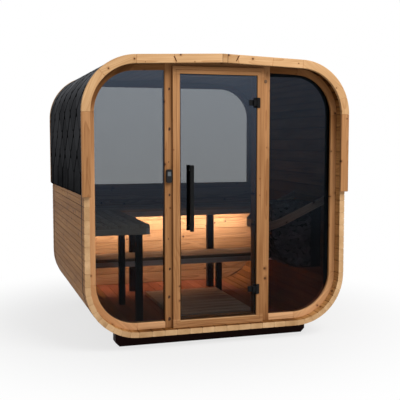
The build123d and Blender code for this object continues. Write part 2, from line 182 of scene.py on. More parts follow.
class SaunaShellSettings(bpy.types.PropertyGroup):
    """Sizes of the staves and the trim."""

    flat_stave: length_property("Flat stave", "Width of a stave on the straight walls", 0.094)
    corner_stave: length_property("Corner stave", "Width of a stave on the rounded corners", 0.067)
    groove: length_property("Groove", "Bevel along the edges of a stave", 0.0035)
    gap: length_property("Gap", "Half the gap between two staves", 0.0003)
    end_bevel: length_property("End bevel", "Bevel round the ends of a stave", 0.0005)
    trim_edge: length_property("Trim edge", "Bevel along the trim boards", 0.0025)


class SaunaRoofSettings(bpy.types.PropertyGroup):
    """Sizes and colour of the shingles."""

    pitch: length_property("Pitch", "Width of a shingle tab", 0.333)
    exposure: length_property("Exposure", "Height of a row that shows", 0.149)
    slit: length_property("Slit", "Gap between two tabs of a row", 0.022)
    border: length_property("Border", "Width of the dark border of a tab", 0.018)
    rise: length_property("Rise", "Height of a tab's lower edge over the skin", 0.0055)
    overhang: length_property("Overhang", "How far the lowest row hangs below the skin at the rear", 0.018)
    tint: colour_property("Shingle", "Colour of the shingles", plain(74, 75, 78))


class SaunaGlassSettings(bpy.types.PropertyGroup):
    """Tint of the glass."""

    tint: colour_property("Tint", "What a pane lets through", (0.412, 0.419, 0.42))
    # A painted reflection: the glass glows faintly with the sky's sheen
    painted_sky_sheen: colour_property("Reflex", "Sheen of the sky at the top of the front", (0.026, 0.034, 0.048))


class SaunaInsideSettings(bpy.types.PropertyGroup):
    """The benches, the heater and the lamp."""

    rear_slats: count_property("Rear slats", "Slats of the rear bench", 4)
    left_slats: count_property("Left slats", "Slats of the left bench", 6)
    lower_slats: count_property("Lower slats", "Slats of the lower bench", 3)
    slat_gap: length_property("Slat gap", "Gap between two slats", 0.005)
    slat_height: length_property("Slat height", "Thickness of a bench slat", 0.026)
    stone: length_property("Stone", "Usual width of a heater stone", 0.048)
    lamp_colour: colour_property("Lamp colour", "Light under the rear bench", (1.0, 0.75, 0.61))
    lamp_power: bpy.props.FloatProperty(name="Lamp power", description="Power of that light",
                                        default=18.0, min=0.0, unit="POWER")


class SaunaStageSettings(bpy.types.PropertyGroup):
    """Camera, lights and floor."""

    camera_place: bpy.props.FloatVectorProperty(name="Camera", description="Place of the camera",
                                                default=(-1.7709, -6.1297, 1.5096), size=3,
                                                subtype="TRANSLATION", unit="LENGTH")
    camera_turn: bpy.props.FloatProperty(name="Turn", description="Camera's turn to the right",
                                         default=math.radians(17.32), subtype="ANGLE", unit="ROTATION")
    camera_tilt: bpy.props.FloatProperty(name="Tilt", description="Camera's tilt downwards",
                                         default=math.radians(4.568), subtype="ANGLE", unit="ROTATION")
    lens: bpy.props.FloatProperty(name="Lens", description="Focal length in millimetres",
                                  default=67.6, min=1.0)
    ambient: bpy.props.FloatProperty(name="Ambient", description="Strength of the studio's even light",
                                     default=0.46, min=0.0)
    key_power: bpy.props.FloatProperty(name="Key light", description="Power of the main lamp",
                                       default=560.0, min=0.0, unit="POWER")
    floor: colour_property("Floor", "Colour of the studio floor", (0.6, 0.6, 0.6))


# Shapes on the outline of the shell


def ring(at, depth):
    """Point of the shell's outline at a length along it, moved inwards by depth.

    The length runs from the middle of the floor up the right side, over the crown and down the left,
    and the left half is the right half mirrored. A point is a centre plus the radius, less the depth,
    times the normal. On the corners the centre stands still and the normal turns by the length over
    the radius. On the floor, the sides and the roof the normal stays and the centre moves along. On
    the crown itself the depth is measured straight down, to the mitre of the two roofs."""
    at, depth = np.broadcast_arrays(np.asarray(at, float), np.asarray(depth, float))
    mirrored = np.where(np.mod(at, ROUND) > AT_CROWN, -1.0, 1.0)
    t = up_side(at)
    turned = (np.clip(t, AT_CORNER, AT_SIDE) - AT_CORNER
              + np.clip(t, AT_SHOULDER, AT_ROOF) - AT_SHOULDER) / RADIUS
    on_roof = np.maximum(t - AT_ROOF, 0.0)
    x = np.minimum(t, FLAT) - on_roof * math.cos(SLANT) + (RADIUS - depth) * np.sin(turned)
    z = KNEE + np.clip(t, AT_SIDE, AT_SHOULDER) - AT_SIDE + on_roof * math.sin(SLANT)
    z -= (RADIUS - depth) * np.cos(turned)
    crown = t > AT_CROWN - 1e-7
    return mirrored * np.where(crown, 0.0, x), np.where(crown, CROWN - depth / math.cos(SLANT), z)


def up_side(at):
    """Length up the nearer side of the outline from the middle of the floor."""
    at = np.mod(at, ROUND)
    return np.minimum(at, ROUND - at)


def side_at(z):
    """Half the inner width of the shell at a height: straight, or less where the lower corners bend in."""
    drop = np.maximum(KNEE - np.asarray(z, float), 0.0)
    radius = RADIUS - THICK
    return FLAT + np.sqrt(np.maximum(radius ** 2 - drop ** 2, 0.0))


def chamfered(a0, a1, b0, b1, edge):
    """Eight points round a rectangle a0 to a1 by b0 to b1 whose corners are cut off by edge."""
    a = np.stack([a0 + edge, a1 - edge, a1, a1, a1 - edge, a0 + edge, a0, a0], -1)
    b = np.stack([b0, b0, b0 + edge, b1 - edge, b1, b1, b1 - edge, b0 + edge], -1)
    return a, b


def loft(points):
    """Faces of n closed bars of k cross-sections with m points each: a square between every two
    neighbours in both directions, and an end face on the first and last cross-section."""
    n, k, m = points.shape[:3]
    index = np.arange(n * k * m).reshape(n, k, m)
    beside = np.roll(index, -1, axis=2)
    quads = np.stack([index[:, :-1], beside[:, :-1], beside[:, 1:], index[:, 1:]], -1).reshape(-1, 4)
    return [quads, index[:, 0, ::-1], index[:, -1]]


def volume(points, faces):
    """Signed volume inside the faces: a sixth of the sum of the corner products of their fans."""
    total = 0.0
    for group in faces:
        for i in range(1, group.shape[1] - 1):
            a, b, c = points[group[:, 0]], points[group[:, i]], points[group[:, i + 1]]
            total += float(np.einsum("ij,ij->", a, np.cross(b, c))) / 6
    return total


def put(name, points, material, stands_for=(), grain=None, tone=None):
    """Puts closed bars of points, as loft takes them, into a mesh that rides on the cabin. grain holds a
    point's place in the wood it is cut from, along, across and deep, and tone how light its board is."""
    faces = loft(points)
    points = np.ascontiguousarray(points.reshape(-1, 3))
    if volume(points - points.mean(0), faces) < 0:
        faces = [group[:, ::-1] for group in faces]
    mesh = bpy.data.meshes.new(name)
    mesh.from_pydata(points, [], [face for group in faces for face in group.tolist()])
    for key, kind, field, values in (("grain", "FLOAT_VECTOR", "vector", grain),
                                     ("tone", "FLOAT", "value", tone)):
        if values is not None:
            layer = mesh.attributes.new(key, kind, "POINT")
            layer.data.foreach_set(field, np.ascontiguousarray(values.reshape(-1), np.float32))
    mesh.materials.append(material)
    mesh.update()
    piece = bpy.data.objects.new(name, mesh)
    bpy.context.scene.collection.objects.link(piece)
    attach(piece, "cabin")
    if stands_for:
        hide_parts(*stands_for)


def cut_from(along, across, deep, seed):
    """Grain places for n boards: each board's own length, width and thickness, moved to a random place
    in a log so that no two show the same rings, and a random tone for each board."""
    random = np.random.default_rng(seed)
    n = along.shape[0]
    shape = (n,) + (1,) * (along.ndim - 1)
    start = random.uniform(0, 40, n).reshape(shape)
    aside = random.uniform(-0.05, 0.05, n) + LOG_STEP * random.integers(0, 9, n)
    below = random.uniform(0.015, 0.06, n).reshape(shape)
    tone = np.clip(random.normal(0, 0.6, n), -1.4, 1.4).reshape(shape)
    places = (along + start, across + aside.reshape(shape), deep + below)
    grain = np.stack(np.broadcast_arrays(*places), -1)
    return grain, np.broadcast_to(tone, along.shape)


def bars(lows, highs, axis, edge):
    """Straight boards between corner arrays, along one axis, every edge cut off: four cross-sections,
    the outer two at the ends and smaller by edge, the inner two whole."""
    lows, highs = np.atleast_2d(lows).astype(float), np.atleast_2d(highs).astype(float)
    a, b = [(1, 2), (2, 0), (0, 1)][axis]
    ends = np.stack([lows[:, axis], lows[:, axis] + edge, highs[:, axis] - edge, highs[:, axis]], 1)
    inset = np.array([edge, 0.0, 0.0, edge])
    pa, pb = chamfered(lows[:, None, a] + inset, highs[:, None, a] - inset,
                       lows[:, None, b] + inset, highs[:, None, b] - inset, edge)
    points = np.zeros(pa.shape + (3,))
    points[..., axis] = ends[:, :, None]
    points[..., a] = pa
    points[..., b] = pb
    return points


def side_by_side(bottom, top, axis, count, gap):
    """Corners of boards that lie side by side along an axis of a box, each smaller by gap on both sides."""
    cuts = np.linspace(bottom[axis], top[axis], count + 1)
    lows, highs = np.tile(bottom, (count, 1)), np.tile(top, (count, 1))
    lows[:, axis], highs[:, axis] = cuts[:-1] + gap, cuts[1:] - gap
    return lows, highs


def buttons(name, centres, sizes, shares, outs, turn, wobble, material):
    """Low caps on the front of the posts. Round each centre, in x and z, lie rings of points. A ring's
    radius is the size in x or z times its share and the wobble at each angle, and it stands out that
    far."""
    (x, z), (wide, tall) = [np.array(pairs, float).T[:, :, None, None] for pairs in (centres, sizes)]
    radius = np.array(shares)[None, :, None] * wobble
    y = low("front_post_left")[1] - np.array(outs)[None, :, None] + 0 * wide * radius
    points = np.stack([x + wide * radius * np.cos(turn), y, z + tall * radius * np.sin(turn)], -1)
    put(name, points, material)


def strips(name, lows, highs, axis, edge, material):
    """One piece of plain bars between corner arrays."""
    put(name, bars(lows, highs, axis, edge), material)


def straight_boards(name, lows, highs, axis, material, seed, edge=0.002, face=None, stands_for=(),
                    light=0.0, foot=0.0):
    """One piece of straight boards with their own grain. face is the axis across the wide side, light is how
    much paler each board is, and foot how much more so its lower end is, as painted shade."""
    points = bars(lows, highs, axis, edge)
    middle = points.mean(axis=(1, 2), keepdims=True)
    local = points - middle
    others = [i for i in range(3) if i != axis]
    across = others[0] if face is None else face
    deep = others[0] if across == others[1] else others[1]
    grain, tone = cut_from(local[..., axis], local[..., across], local[..., deep], seed)
    run = local[..., axis]
    # foot is painted shade: the lower end takes its whole tone, the upper end none
    tone = tone + np.broadcast_to(light, len(points))[:, None, None] + foot * (0.5 - run / np.ptp(run))
    put(name, points, material, stands_for, grain, tone)


def ring_boards(name, cuts, depths, ys, edge, material, seed, steps, stands_for=(), slants=None,
                painted_light=((0.0,), (0.0,))):
    """Boards that follow the outline: each lies between two lengths along it, two depths and two y.

    A board's cross-section is an eight point rectangle in depth and y, carried along the outline in even
    steps. slants moves an end along the outline by that many metres per metre of depth. painted_light holds
    lengths up either side of the outline, and how much paler the wood is painted there, as painted light and
    shade. The grain runs straight from the board's first end to its last, as in boards sawn from wide
    planks."""
    starts, ends = np.asarray(cuts[0], float), np.asarray(cuts[1], float)
    n = len(starts)
    share = np.concatenate([[0.0], np.linspace(0, 1, steps + 2), [1.0]])
    inset = np.zeros(len(share))
    inset[[0, -1]] = edge
    first = np.full((n, 1), depths[0]) + inset
    last = np.full((n, 1), depths[1]) - inset
    d, y = chamfered(first, last, np.full((n, 1), ys[0]) + inset, np.full((n, 1), ys[1]) - inset, edge)
    tilt = np.zeros((n, 2)) if slants is None else np.asarray(slants, float)
    centre = (depths[0] + depths[1]) / 2
    a = starts[:, None, None] + tilt[:, :1, None] * (d - centre)
    b = ends[:, None, None] + tilt[:, 1:, None] * (d - centre)
    at = a + (b - a) * share[None, :, None]
    at[:, 1] += edge
    at[:, -2] -= edge
    x, z = ring(at, d)
    points = np.stack(np.broadcast_arrays(x, y, z), -1)
    first_x, first_z = ring(starts, centre)
    last_x, last_z = ring(ends, centre)
    run = np.hypot(last_x - first_x, last_z - first_z)
    ux, uz = [(u / run)[:, None, None] for u in (last_x - first_x, last_z - first_z)]
    dx, dz = x - first_x[:, None, None], z - first_z[:, None, None]
    grain, tone = cut_from(dx * ux + dz * uz, dz * ux - dx * uz, y - (ys[0] + ys[1]) / 2, seed)
    # Painted light and shade along the outline
    tone = tone + np.interp(up_side(at), *painted_light)
    put(name, points, material, stands_for, grain, tone)


# Materials


def wire(tree, value, socket):
    """Links a socket, or sets a plain value."""
    if isinstance(value, bpy.types.NodeSocket):
        tree.links.new(value, socket)
    else:
        socket.default_value = value


def fill(tree, node, values):
    """Links or sets several inputs of a node by their names."""
    for key, value in values.items():
        wire(tree, value, node.inputs[key])


def calc(tree, operation, *values, clamp=False):
    """A Math node and its result."""
    node = tree.nodes.new("ShaderNodeMath")
    node.operation = operation
    node.use_clamp = clamp
    for socket, value in zip(node.inputs, values):
        wire(tree, value, socket)
    return node.outputs[0]


def vector(tree, x, y, z):
    """Three numbers as a vector."""
    node = tree.nodes.new("ShaderNodeCombineXYZ")
    for socket, value in zip(node.inputs, (x, y, z)):
        wire(tree, value, socket)
    return node.outputs[0]


def parts(tree, value):
    """The three numbers of a vector."""
    node = tree.nodes.new("ShaderNodeSeparateXYZ")
    wire(tree, value, node.inputs[0])
    return node.outputs


def swing(tree, value, amount, base):
    """The base plus the amount times how far a noise is from its middle."""
    return calc(tree, "MULTIPLY_ADD", calc(tree, "SUBTRACT", value, 0.5), amount, base)


def hypotenuse(tree, a, b):
    """Root of the sum of two squares."""
    return calc(tree, "SQRT", calc(tree, "MULTIPLY_ADD", a, a, calc(tree, "MULTIPLY", b, b)))


def attribute(tree, name):
    """A node that reads an attribute of the mesh."""
    node = tree.nodes.new("ShaderNodeAttribute")
    node.attribute_name = name
    return node


def plainly_seen(tree):
    """1 for camera, glossy and transmitted rays, 0 for the others."""
    path = tree.nodes.new("ShaderNodeLightPath")
    seen = calc(tree, "MAXIMUM", path.outputs["Is Camera Ray"], path.outputs["Is Glossy Ray"])
    return calc(tree, "MAXIMUM", seen, path.outputs["Is Transmission Ray"])


def noise(tree, place, scale=1.0, detail=2.0, rough=0.5):
    """Value of a noise at a place."""
    node = tree.nodes.new("ShaderNodeTexNoise")
    fill(tree, node, {"Vector": place, "Scale": scale, "Detail": detail, "Roughness": rough})
    return node.outputs["Fac"]


def ramp(tree, value, start, end, low_value=0.0, high_value=1.0, smooth=True):
    """A value carried from one range to another, held at the ends."""
    node = tree.nodes.new("ShaderNodeMapRange")
    node.interpolation_type = "SMOOTHSTEP" if smooth else "LINEAR"
    fill(tree, node, {"Value": value, "From Min": start, "From Max": end, "To Min": low_value,
                      "To Max": high_value})
    return node.outputs["Result"]


def blend(tree, share, first, second, mode="MIX"):
    """A mix of two colours."""
    node = tree.nodes.new("ShaderNodeMix")
    node.data_type = "RGBA"
    node.blend_type = mode
    node.clamp_factor = True
    wire(tree, share, node.inputs[0])
    wire(tree, first, node.inputs[6])
    wire(tree, second, node.inputs[7])
    return node.outputs[2]


def new_group(name, takes, gives):
    """A node group with named inputs, as (name, kind, default), and named outputs."""
    tree = bpy.data.node_groups.new(name, "ShaderNodeTree")
    for label, kind, default in takes:
        socket = tree.interface.new_socket(label, in_out="INPUT", socket_type=kind)
        if default is not None:
            socket.default_value = default
    for label, kind in gives:
        tree.interface.new_socket(label, in_out="OUTPUT", socket_type=kind)
    return tree, tree.nodes.new("NodeGroupInput").outputs, tree.nodes.new("NodeGroupOutput").inputs


def softwood_group():
    """Softwood in three dimensions. Year rings are shells round a slightly tilted, wandering core, dark
    towards their outer edge. Fine fibres run along the board, knots stand across it in random cells and
    push the rings aside, and slow blotches change the tone."""
    name = "Softwood"
    if name in bpy.data.node_groups:
        return bpy.data.node_groups[name]
    tree, take, give = new_group(name, [
        ("Grain", "NodeSocketVector", None),
        ("Tone", "NodeSocketFloat", 0.0),
        ("Tone Spread", "NodeSocketFloat", 0.5),
        ("Early", "NodeSocketColor", (0.6, 0.4, 0.2, 1)),
        ("Late", "NodeSocketColor", (0.3, 0.15, 0.06, 1)),
        ("Knot", "NodeSocketColor", (0.06, 0.02, 0.01, 1)),
        ("Knot Share", "NodeSocketFloat", 0.3),
        ("Ring Width", "NodeSocketFloat", 0.004),
        ("End", "NodeSocketFloat", 0.0),
        ("End Colour", "NodeSocketColor", (0.7, 0.5, 0.3, 1)),
    ], [("Color", "NodeSocketColor"), ("Roughness", "NodeSocketFloat"), ("Height", "NodeSocketFloat")])
    along, across, deep = parts(tree, take["Grain"])

    def scaled(u, v, w):
        return vector(tree, calc(tree, "MULTIPLY", along, u), calc(tree, "MULTIPLY", across, v),
                      calc(tree, "MULTIPLY", deep, w))

    wander = swing(tree, noise(tree, scaled(1.1, 6, 6)), 0.05, 0.0)
    cells = tree.nodes.new("ShaderNodeTexVoronoi")
    cells.voronoi_dimensions = "2D"
    per_metre = 9.0
    cells.inputs["Scale"].default_value = per_metre
    wire(tree, vector(tree, along, across, 0.0), cells.inputs["Vector"])
    away = calc(tree, "DIVIDE", cells.outputs["Distance"], per_metre)
    chance, size, _ = parts(tree, cells.outputs["Color"])
    there = calc(tree, "LESS_THAN", chance, take["Knot Share"])
    radius = calc(tree, "MULTIPLY_ADD", size, 0.007, 0.003)
    knot = calc(tree, "MULTIPLY", there,
                ramp(tree, away, calc(tree, "MULTIPLY", radius, 1.15), calc(tree, "MULTIPLY", radius, 0.8)))
    halo = calc(tree, "MULTIPLY", there, ramp(tree, away, calc(tree, "MULTIPLY", radius, 3.0), radius))
    half = LOG_STEP / 2
    local = calc(tree, "SUBTRACT", calc(tree, "MODULO", calc(tree, "ADD", across, half), LOG_STEP), half)
    sideways = calc(tree, "ADD", local, wander)
    core = calc(tree, "ADD", deep, calc(tree, "MULTIPLY_ADD", along, 0.004, wander))
    from_core = calc(tree, "MULTIPLY_ADD", halo, 0.012, hypotenuse(tree, sideways, core))
    ring_share = calc(tree, "FRACT", calc(tree, "DIVIDE", from_core, take["Ring Width"]))
    late = calc(tree, "MULTIPLY", calc(tree, "POWER", ring_share, 2.5),
                ramp(tree, ring_share, 1.0, 0.93))
    fibre = noise(tree, scaled(9, 330, 330), detail=3.0, rough=0.6)
    streak = noise(tree, scaled(2.2, 75, 75))
    blotch = noise(tree, scaled(1.6, 11, 11))
    share = swing(tree, fibre, 0.5, calc(tree, "MULTIPLY_ADD", late, 0.55, 0.06))
    share = swing(tree, streak, 1.1, share)
    share = calc(tree, "MULTIPLY_ADD", halo, 0.35, share, clamp=True)
    body = blend(tree, share, take["Early"], take["Late"])
    body = blend(tree, calc(tree, "MULTIPLY", take["End"], 0.75), body,
                 blend(tree, calc(tree, "MULTIPLY", late, 0.6), take["End Colour"], take["Late"]))
    bright = calc(tree, "MULTIPLY", take["Tone"], take["Tone Spread"])
    bright = calc(tree, "MULTIPLY_ADD", bright, 0.22, 1.0)
    bright = swing(tree, blotch, 0.75, bright)
    bright = calc(tree, "MAXIMUM", bright, 0.05)
    shade = vector(tree, bright, calc(tree, "POWER", bright, 1.25), calc(tree, "POWER", bright, 1.6))
    body = blend(tree, 1.0, body, shade, "MULTIPLY")
    body = blend(tree, calc(tree, "MULTIPLY", knot, 0.85), body, take["Knot"])
    wire(tree, body, give["Color"])
    wire(tree, calc(tree, "MULTIPLY_ADD", fibre, 0.2, calc(tree, "MULTIPLY_ADD", late, -0.1, 0.5)),
         give["Roughness"])
    height = calc(tree, "MULTIPLY_ADD", late, 0.6, calc(tree, "MULTIPLY", fibre, 0.6))
    wire(tree, calc(tree, "MULTIPLY_ADD", knot, -0.8, height), give["Height"])
    return tree


def grit_group():
    """Fine grit and slow blotches on a surface: a noise of the grain's size and one of the blotches'."""
    name = "Grit"
    if name in bpy.data.node_groups:
        return bpy.data.node_groups[name]
    tree, take, give = new_group(name, [
        ("Place", "NodeSocketVector", None),
        ("Grain Size", "NodeSocketFloat", 0.002),
        ("Blotch Size", "NodeSocketFloat", 0.2),
    ], [("Grit", "NodeSocketFloat"), ("Blotch", "NodeSocketFloat")])
    for size, label, detail, rough in (("Grain Size", "Grit", 2.0, 0.7),
                                       ("Blotch Size", "Blotch", 3.0, 0.5)):
        scaled = tree.nodes.new("ShaderNodeVectorMath")
        scaled.operation = "SCALE"
        fill(tree, scaled, {0: take["Place"], "Scale": calc(tree, "DIVIDE", 1.0, take[size])})
        wire(tree, noise(tree, scaled.outputs[0], detail=detail, rough=rough), give[label])
    return tree


def finish_name(name):
    """Name of a finish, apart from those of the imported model's own materials."""
    return "sauna_" + name


def new_material(name):
    """A material with its tree, its Principled shader and its output."""
    made = bpy.data.materials.new(finish_name(name))
    made.use_nodes = True
    tree = made.node_tree
    shader = tree.nodes["Principled BSDF"]
    return made, tree, shader, tree.nodes["Material Output"]


def bump(tree, height, strength, distance, shader):
    """Height to the shader's normal."""
    node = tree.nodes.new("ShaderNodeBump")
    fill(tree, node, {"Strength": strength, "Distance": distance, "Height": height})
    wire(tree, node.outputs[0], shader.inputs["Normal"])


def mix_shaders(tree, share, first, second, output):
    """A mix of two shaders to the output."""
    mix = tree.nodes.new("ShaderNodeMixShader")
    wire(tree, share, mix.inputs[0])
    tree.links.new(first.outputs[0], mix.inputs[1])
    tree.links.new(second.outputs[0], mix.inputs[2])
    tree.links.new(mix.outputs[0], output.inputs["Surface"])


def object_place(tree):
    """The object coordinates."""
    return tree.nodes.new("ShaderNodeTexCoord").outputs["Object"]


# Every wood: the first word of its colours, its share of knots, whether its sawn ends are paler and, where
# it isn't cut from boards, the axis of its grain, its place in the log and the painted shade at its foot
WOODS = {
    "shell_wood": {"tint": "stave", "knots": 0.3, "end": True},
    "floor_wood": {"tint": "floor", "knots": 0.3},
    "arch_wood": {"tint": "arch", "knots": 0.55},
    "trim_wood": {"tint": "frame", "knots": 0.4},
    "rail_wood": {"tint": "frame", "knots": 0.35, "axis": "X", "offset": (0.35, 0.02, 0.03)},
    "jamb_wood": {"tint": "frame", "knots": 0.35, "axis": "Z", "offset": (0.35, 0.02, 0.03),
                  "foot": FOOT_PAINTED_SHADE},
    "bench_wood": {"tint": "bench", "knots": 0.12},
    "bench_wood_x": {"tint": "bench", "knots": 0.12, "axis": "X"},
    "shaded_leg_wood": {"tint": "leg", "knots": 0.1, "axis": "Z"},
    "beam_wood": {"tint": "beam", "knots": 0.1, "axis": "X", "offset": (3.0, 0.0, 0.0)},
}


def wood(name):
    """A wood of the table, made once. With no axis it reads each board's own grain places. With one it
    takes its grain along that axis of the object coordinates."""
    if finish_name(name) in bpy.data.materials:
        return bpy.data.materials[finish_name(name)]
    settings, kind = bpy.context.scene.sauna_wood, WOODS[name]
    made, tree, shader, _ = new_material(name)
    group = tree.nodes.new("ShaderNodeGroup")
    group.node_tree = softwood_group()
    if "axis" in kind:
        x, y, z = parts(tree, object_place(tree))
        places = (x, z, y) if kind["axis"] == "X" else (z, x, y)
        moved = [calc(tree, "ADD", *pair) for pair in zip(places, kind.get("offset", (0.0, 0.0, 0.0)))]
        wire(tree, vector(tree, *moved), group.inputs["Grain"])
        # Painted shade: darker towards the foot
        if "foot" in kind:
            wire(tree, ramp(tree, z, BASE, CROWN, kind["foot"], 0.0, smooth=False), group.inputs["Tone"])
    else:
        wire(tree, attribute(tree, "grain").outputs["Vector"], group.inputs["Grain"])
        wire(tree, attribute(tree, "tone").outputs["Fac"], group.inputs["Tone"])
    for key, tint in (("Early", kind["tint"] + "_early"), ("Late", kind["tint"] + "_late"),
                      ("Knot", "knot"), ("End Colour", "end")):
        group.inputs[key].default_value = (*getattr(settings, tint), 1.0)
    fill(tree, group, {"Tone Spread": settings.tone_spread, "Knot Share": kind["knots"],
                       "Ring Width": settings.ring_width})
    if "end" in kind:
        _, facing, _ = parts(tree, tree.nodes.new("ShaderNodeNewGeometry").outputs["True Normal"])
        wire(tree, ramp(tree, calc(tree, "ABSOLUTE", facing), 0.5, 0.9), group.inputs["End"])
    fill(tree, shader, {"Base Color": group.outputs["Color"], "Roughness": group.outputs["Roughness"],
                        "Specular IOR Level": 0.05})
    bump(tree, group.outputs["Height"], 0.35, 0.0006, shader)
    return made


def gritty(name, tint, grain=0.002, blotch=0.2, spread=0.5, rough=0.7, depth=0.0004, strength=0.5,
           toned=False, shine=0.2):
    """A finish with grit and blotches, made once: shingles, stone, paint, plastic, steel and filler. A
    toned one reads how light each part is."""
    if finish_name(name) in bpy.data.materials:
        return bpy.data.materials[finish_name(name)]
    made, tree, shader, _ = new_material(name)
    group = tree.nodes.new("ShaderNodeGroup")
    group.node_tree = grit_group()
    fill(tree, group, {"Place": object_place(tree), "Grain Size": grain, "Blotch Size": blotch})
    bright = swing(tree, group.outputs["Grit"], spread * 2, 1.0)
    bright = swing(tree, group.outputs["Blotch"], spread, bright)
    if toned:
        bright = calc(tree, "MULTIPLY_ADD", attribute(tree, "tone").outputs["Fac"], TONE_STEP, bright)
    bright = calc(tree, "MAXIMUM", bright, 0.02)
    colours = blend(tree, 1.0, tint, vector(tree, bright, bright, bright), "MULTIPLY")
    roughness = ramp(tree, group.outputs["Blotch"], 0.2, 0.8, rough - 0.08, rough + 0.08)
    fill(tree, shader, {"Base Color": colours, "Roughness": roughness, "Specular IOR Level": shine})
    bump(tree, group.outputs["Grit"], strength, depth, shader)
    return made


def outside(tree, value, first, last):
    """1 where a value lies outside a span, and 0 inside."""
    away = calc(tree, "ABSOLUTE", calc(tree, "SUBTRACT", value, (first + last) / 2))
    return calc(tree, "GREATER_THAN", away, (last - first) / 2)


def tinted_glass(name, tint, painted_sky_sheen=None, cut=None, rim=None):
    """Tinted glass that bends and mirrors light, and lets the lamps' light straight through.
    painted_sky_sheen is a painted reflection of the sky on its upper half, a faint glow that fades out
    downwards. cut is a box in x and z without that painted reflection, where a black thing close to the
    glass would be mirrored instead. rim is the middle, in x and z, and the radius of an arc beyond which the
    glass is painted nearly black, as painted shadow. Glass with a rim is also darker and redder towards its
    foot."""
    made, tree, shader, output = new_material(name)
    fill(tree, shader, {"Base Color": (*tint, 1.0), "Roughness": 0.0, "Transmission Weight": 1.0,
                        "IOR": 1.13, "Specular Tint": (0.6, 0.82, 1.0, 1.0)})
    # Heights where the painted sheen begins, where it is full and where the redder foot ends
    begins, full, foot_end = 0.75, 2.1, 1.15
    if painted_sky_sheen:
        aside, _, height = parts(tree, object_place(tree))
        share = ramp(tree, height, begins, full, smooth=False)
        if cut:
            share = calc(tree, "MULTIPLY", share, calc(tree, "MAXIMUM", outside(tree, aside, *cut[:2]),
                                                       outside(tree, height, *cut[2:])))
        # Beyond the arc the glass is painted nearly black, a painted shadow, and has no painted sheen
        if rim:
            middle, level, radius = rim
            squash, blur = 0.94, 0.003
            right = calc(tree, "MAXIMUM", calc(tree, "SUBTRACT", aside, middle), 0.0)
            above = calc(tree, "MAXIMUM", calc(tree, "SUBTRACT", height, level), 0.0)
            away = hypotenuse(tree, right, calc(tree, "MULTIPLY", above, squash))
            clear = ramp(tree, away, radius - blur, radius + blur, 1.0, 0.0)
            share = calc(tree, "MULTIPLY", share, clear)
            foot = (tint[0] * 0.92, tint[1] * 0.6, tint[2] * 0.6, 1.0)
            shade = blend(tree, ramp(tree, height, begins, foot_end), foot, (*tint, 1.0))
            wire(tree, blend(tree, clear, (0.03, 0.02, 0.02, 1.0), shade), shader.inputs["Base Color"])
        # The painted reflection glows from the glass
        wire(tree, blend(tree, share, (0.0, 0.0, 0.0, 1.0), (*painted_sky_sheen, 1.0)), shader.inputs["Emission Color"])
        shader.inputs["Emission Strength"].default_value = 1.0
        made.cycles.emission_sampling = "NONE"
    through = tree.nodes.new("ShaderNodeBsdfTransparent")
    through.inputs["Color"].default_value = (*[c ** 1.35 for c in tint], 1.0)
    path = tree.nodes.new("ShaderNodeLightPath")
    straight = calc(tree, "MAXIMUM", path.outputs["Is Shadow Ray"], path.outputs["Is Diffuse Ray"])
    mix_shaders(tree, straight, shader, through, output)
    return made


def dress(material, *nodes):
    """Gives CAD nodes a material in all their slots."""
    for name in nodes:
        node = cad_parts[name]
        if not node.material_slots:
            raise RuntimeError(f"the node {name} has no material slot")
        for slot in node.material_slots:
            slot.material = material


def black_paint():
    """Black paint on the metal parts."""
    return gritty("black_metal", colour(13, 13, 14), grain=0.0015, blotch=0.05, spread=0.25, rough=0.42,
                  depth=0.0001, strength=0.3, shine=0.1)


def add_lamp(name, place, angles, size, power, tint=(1.0, 1.0, 1.0)):
    """A lamp of two sizes at a place, turned by three angles."""
    data = bpy.data.lights.new(name, "AREA")
    data.shape = "RECTANGLE"
    data.size, data.size_y = size
    data.energy = power
    data.color = tint
    lamp = bpy.data.objects.new(name, data)
    lamp.location, lamp.rotation_euler = place, angles
    bpy.context.scene.collection.objects.link(lamp)


# Operators


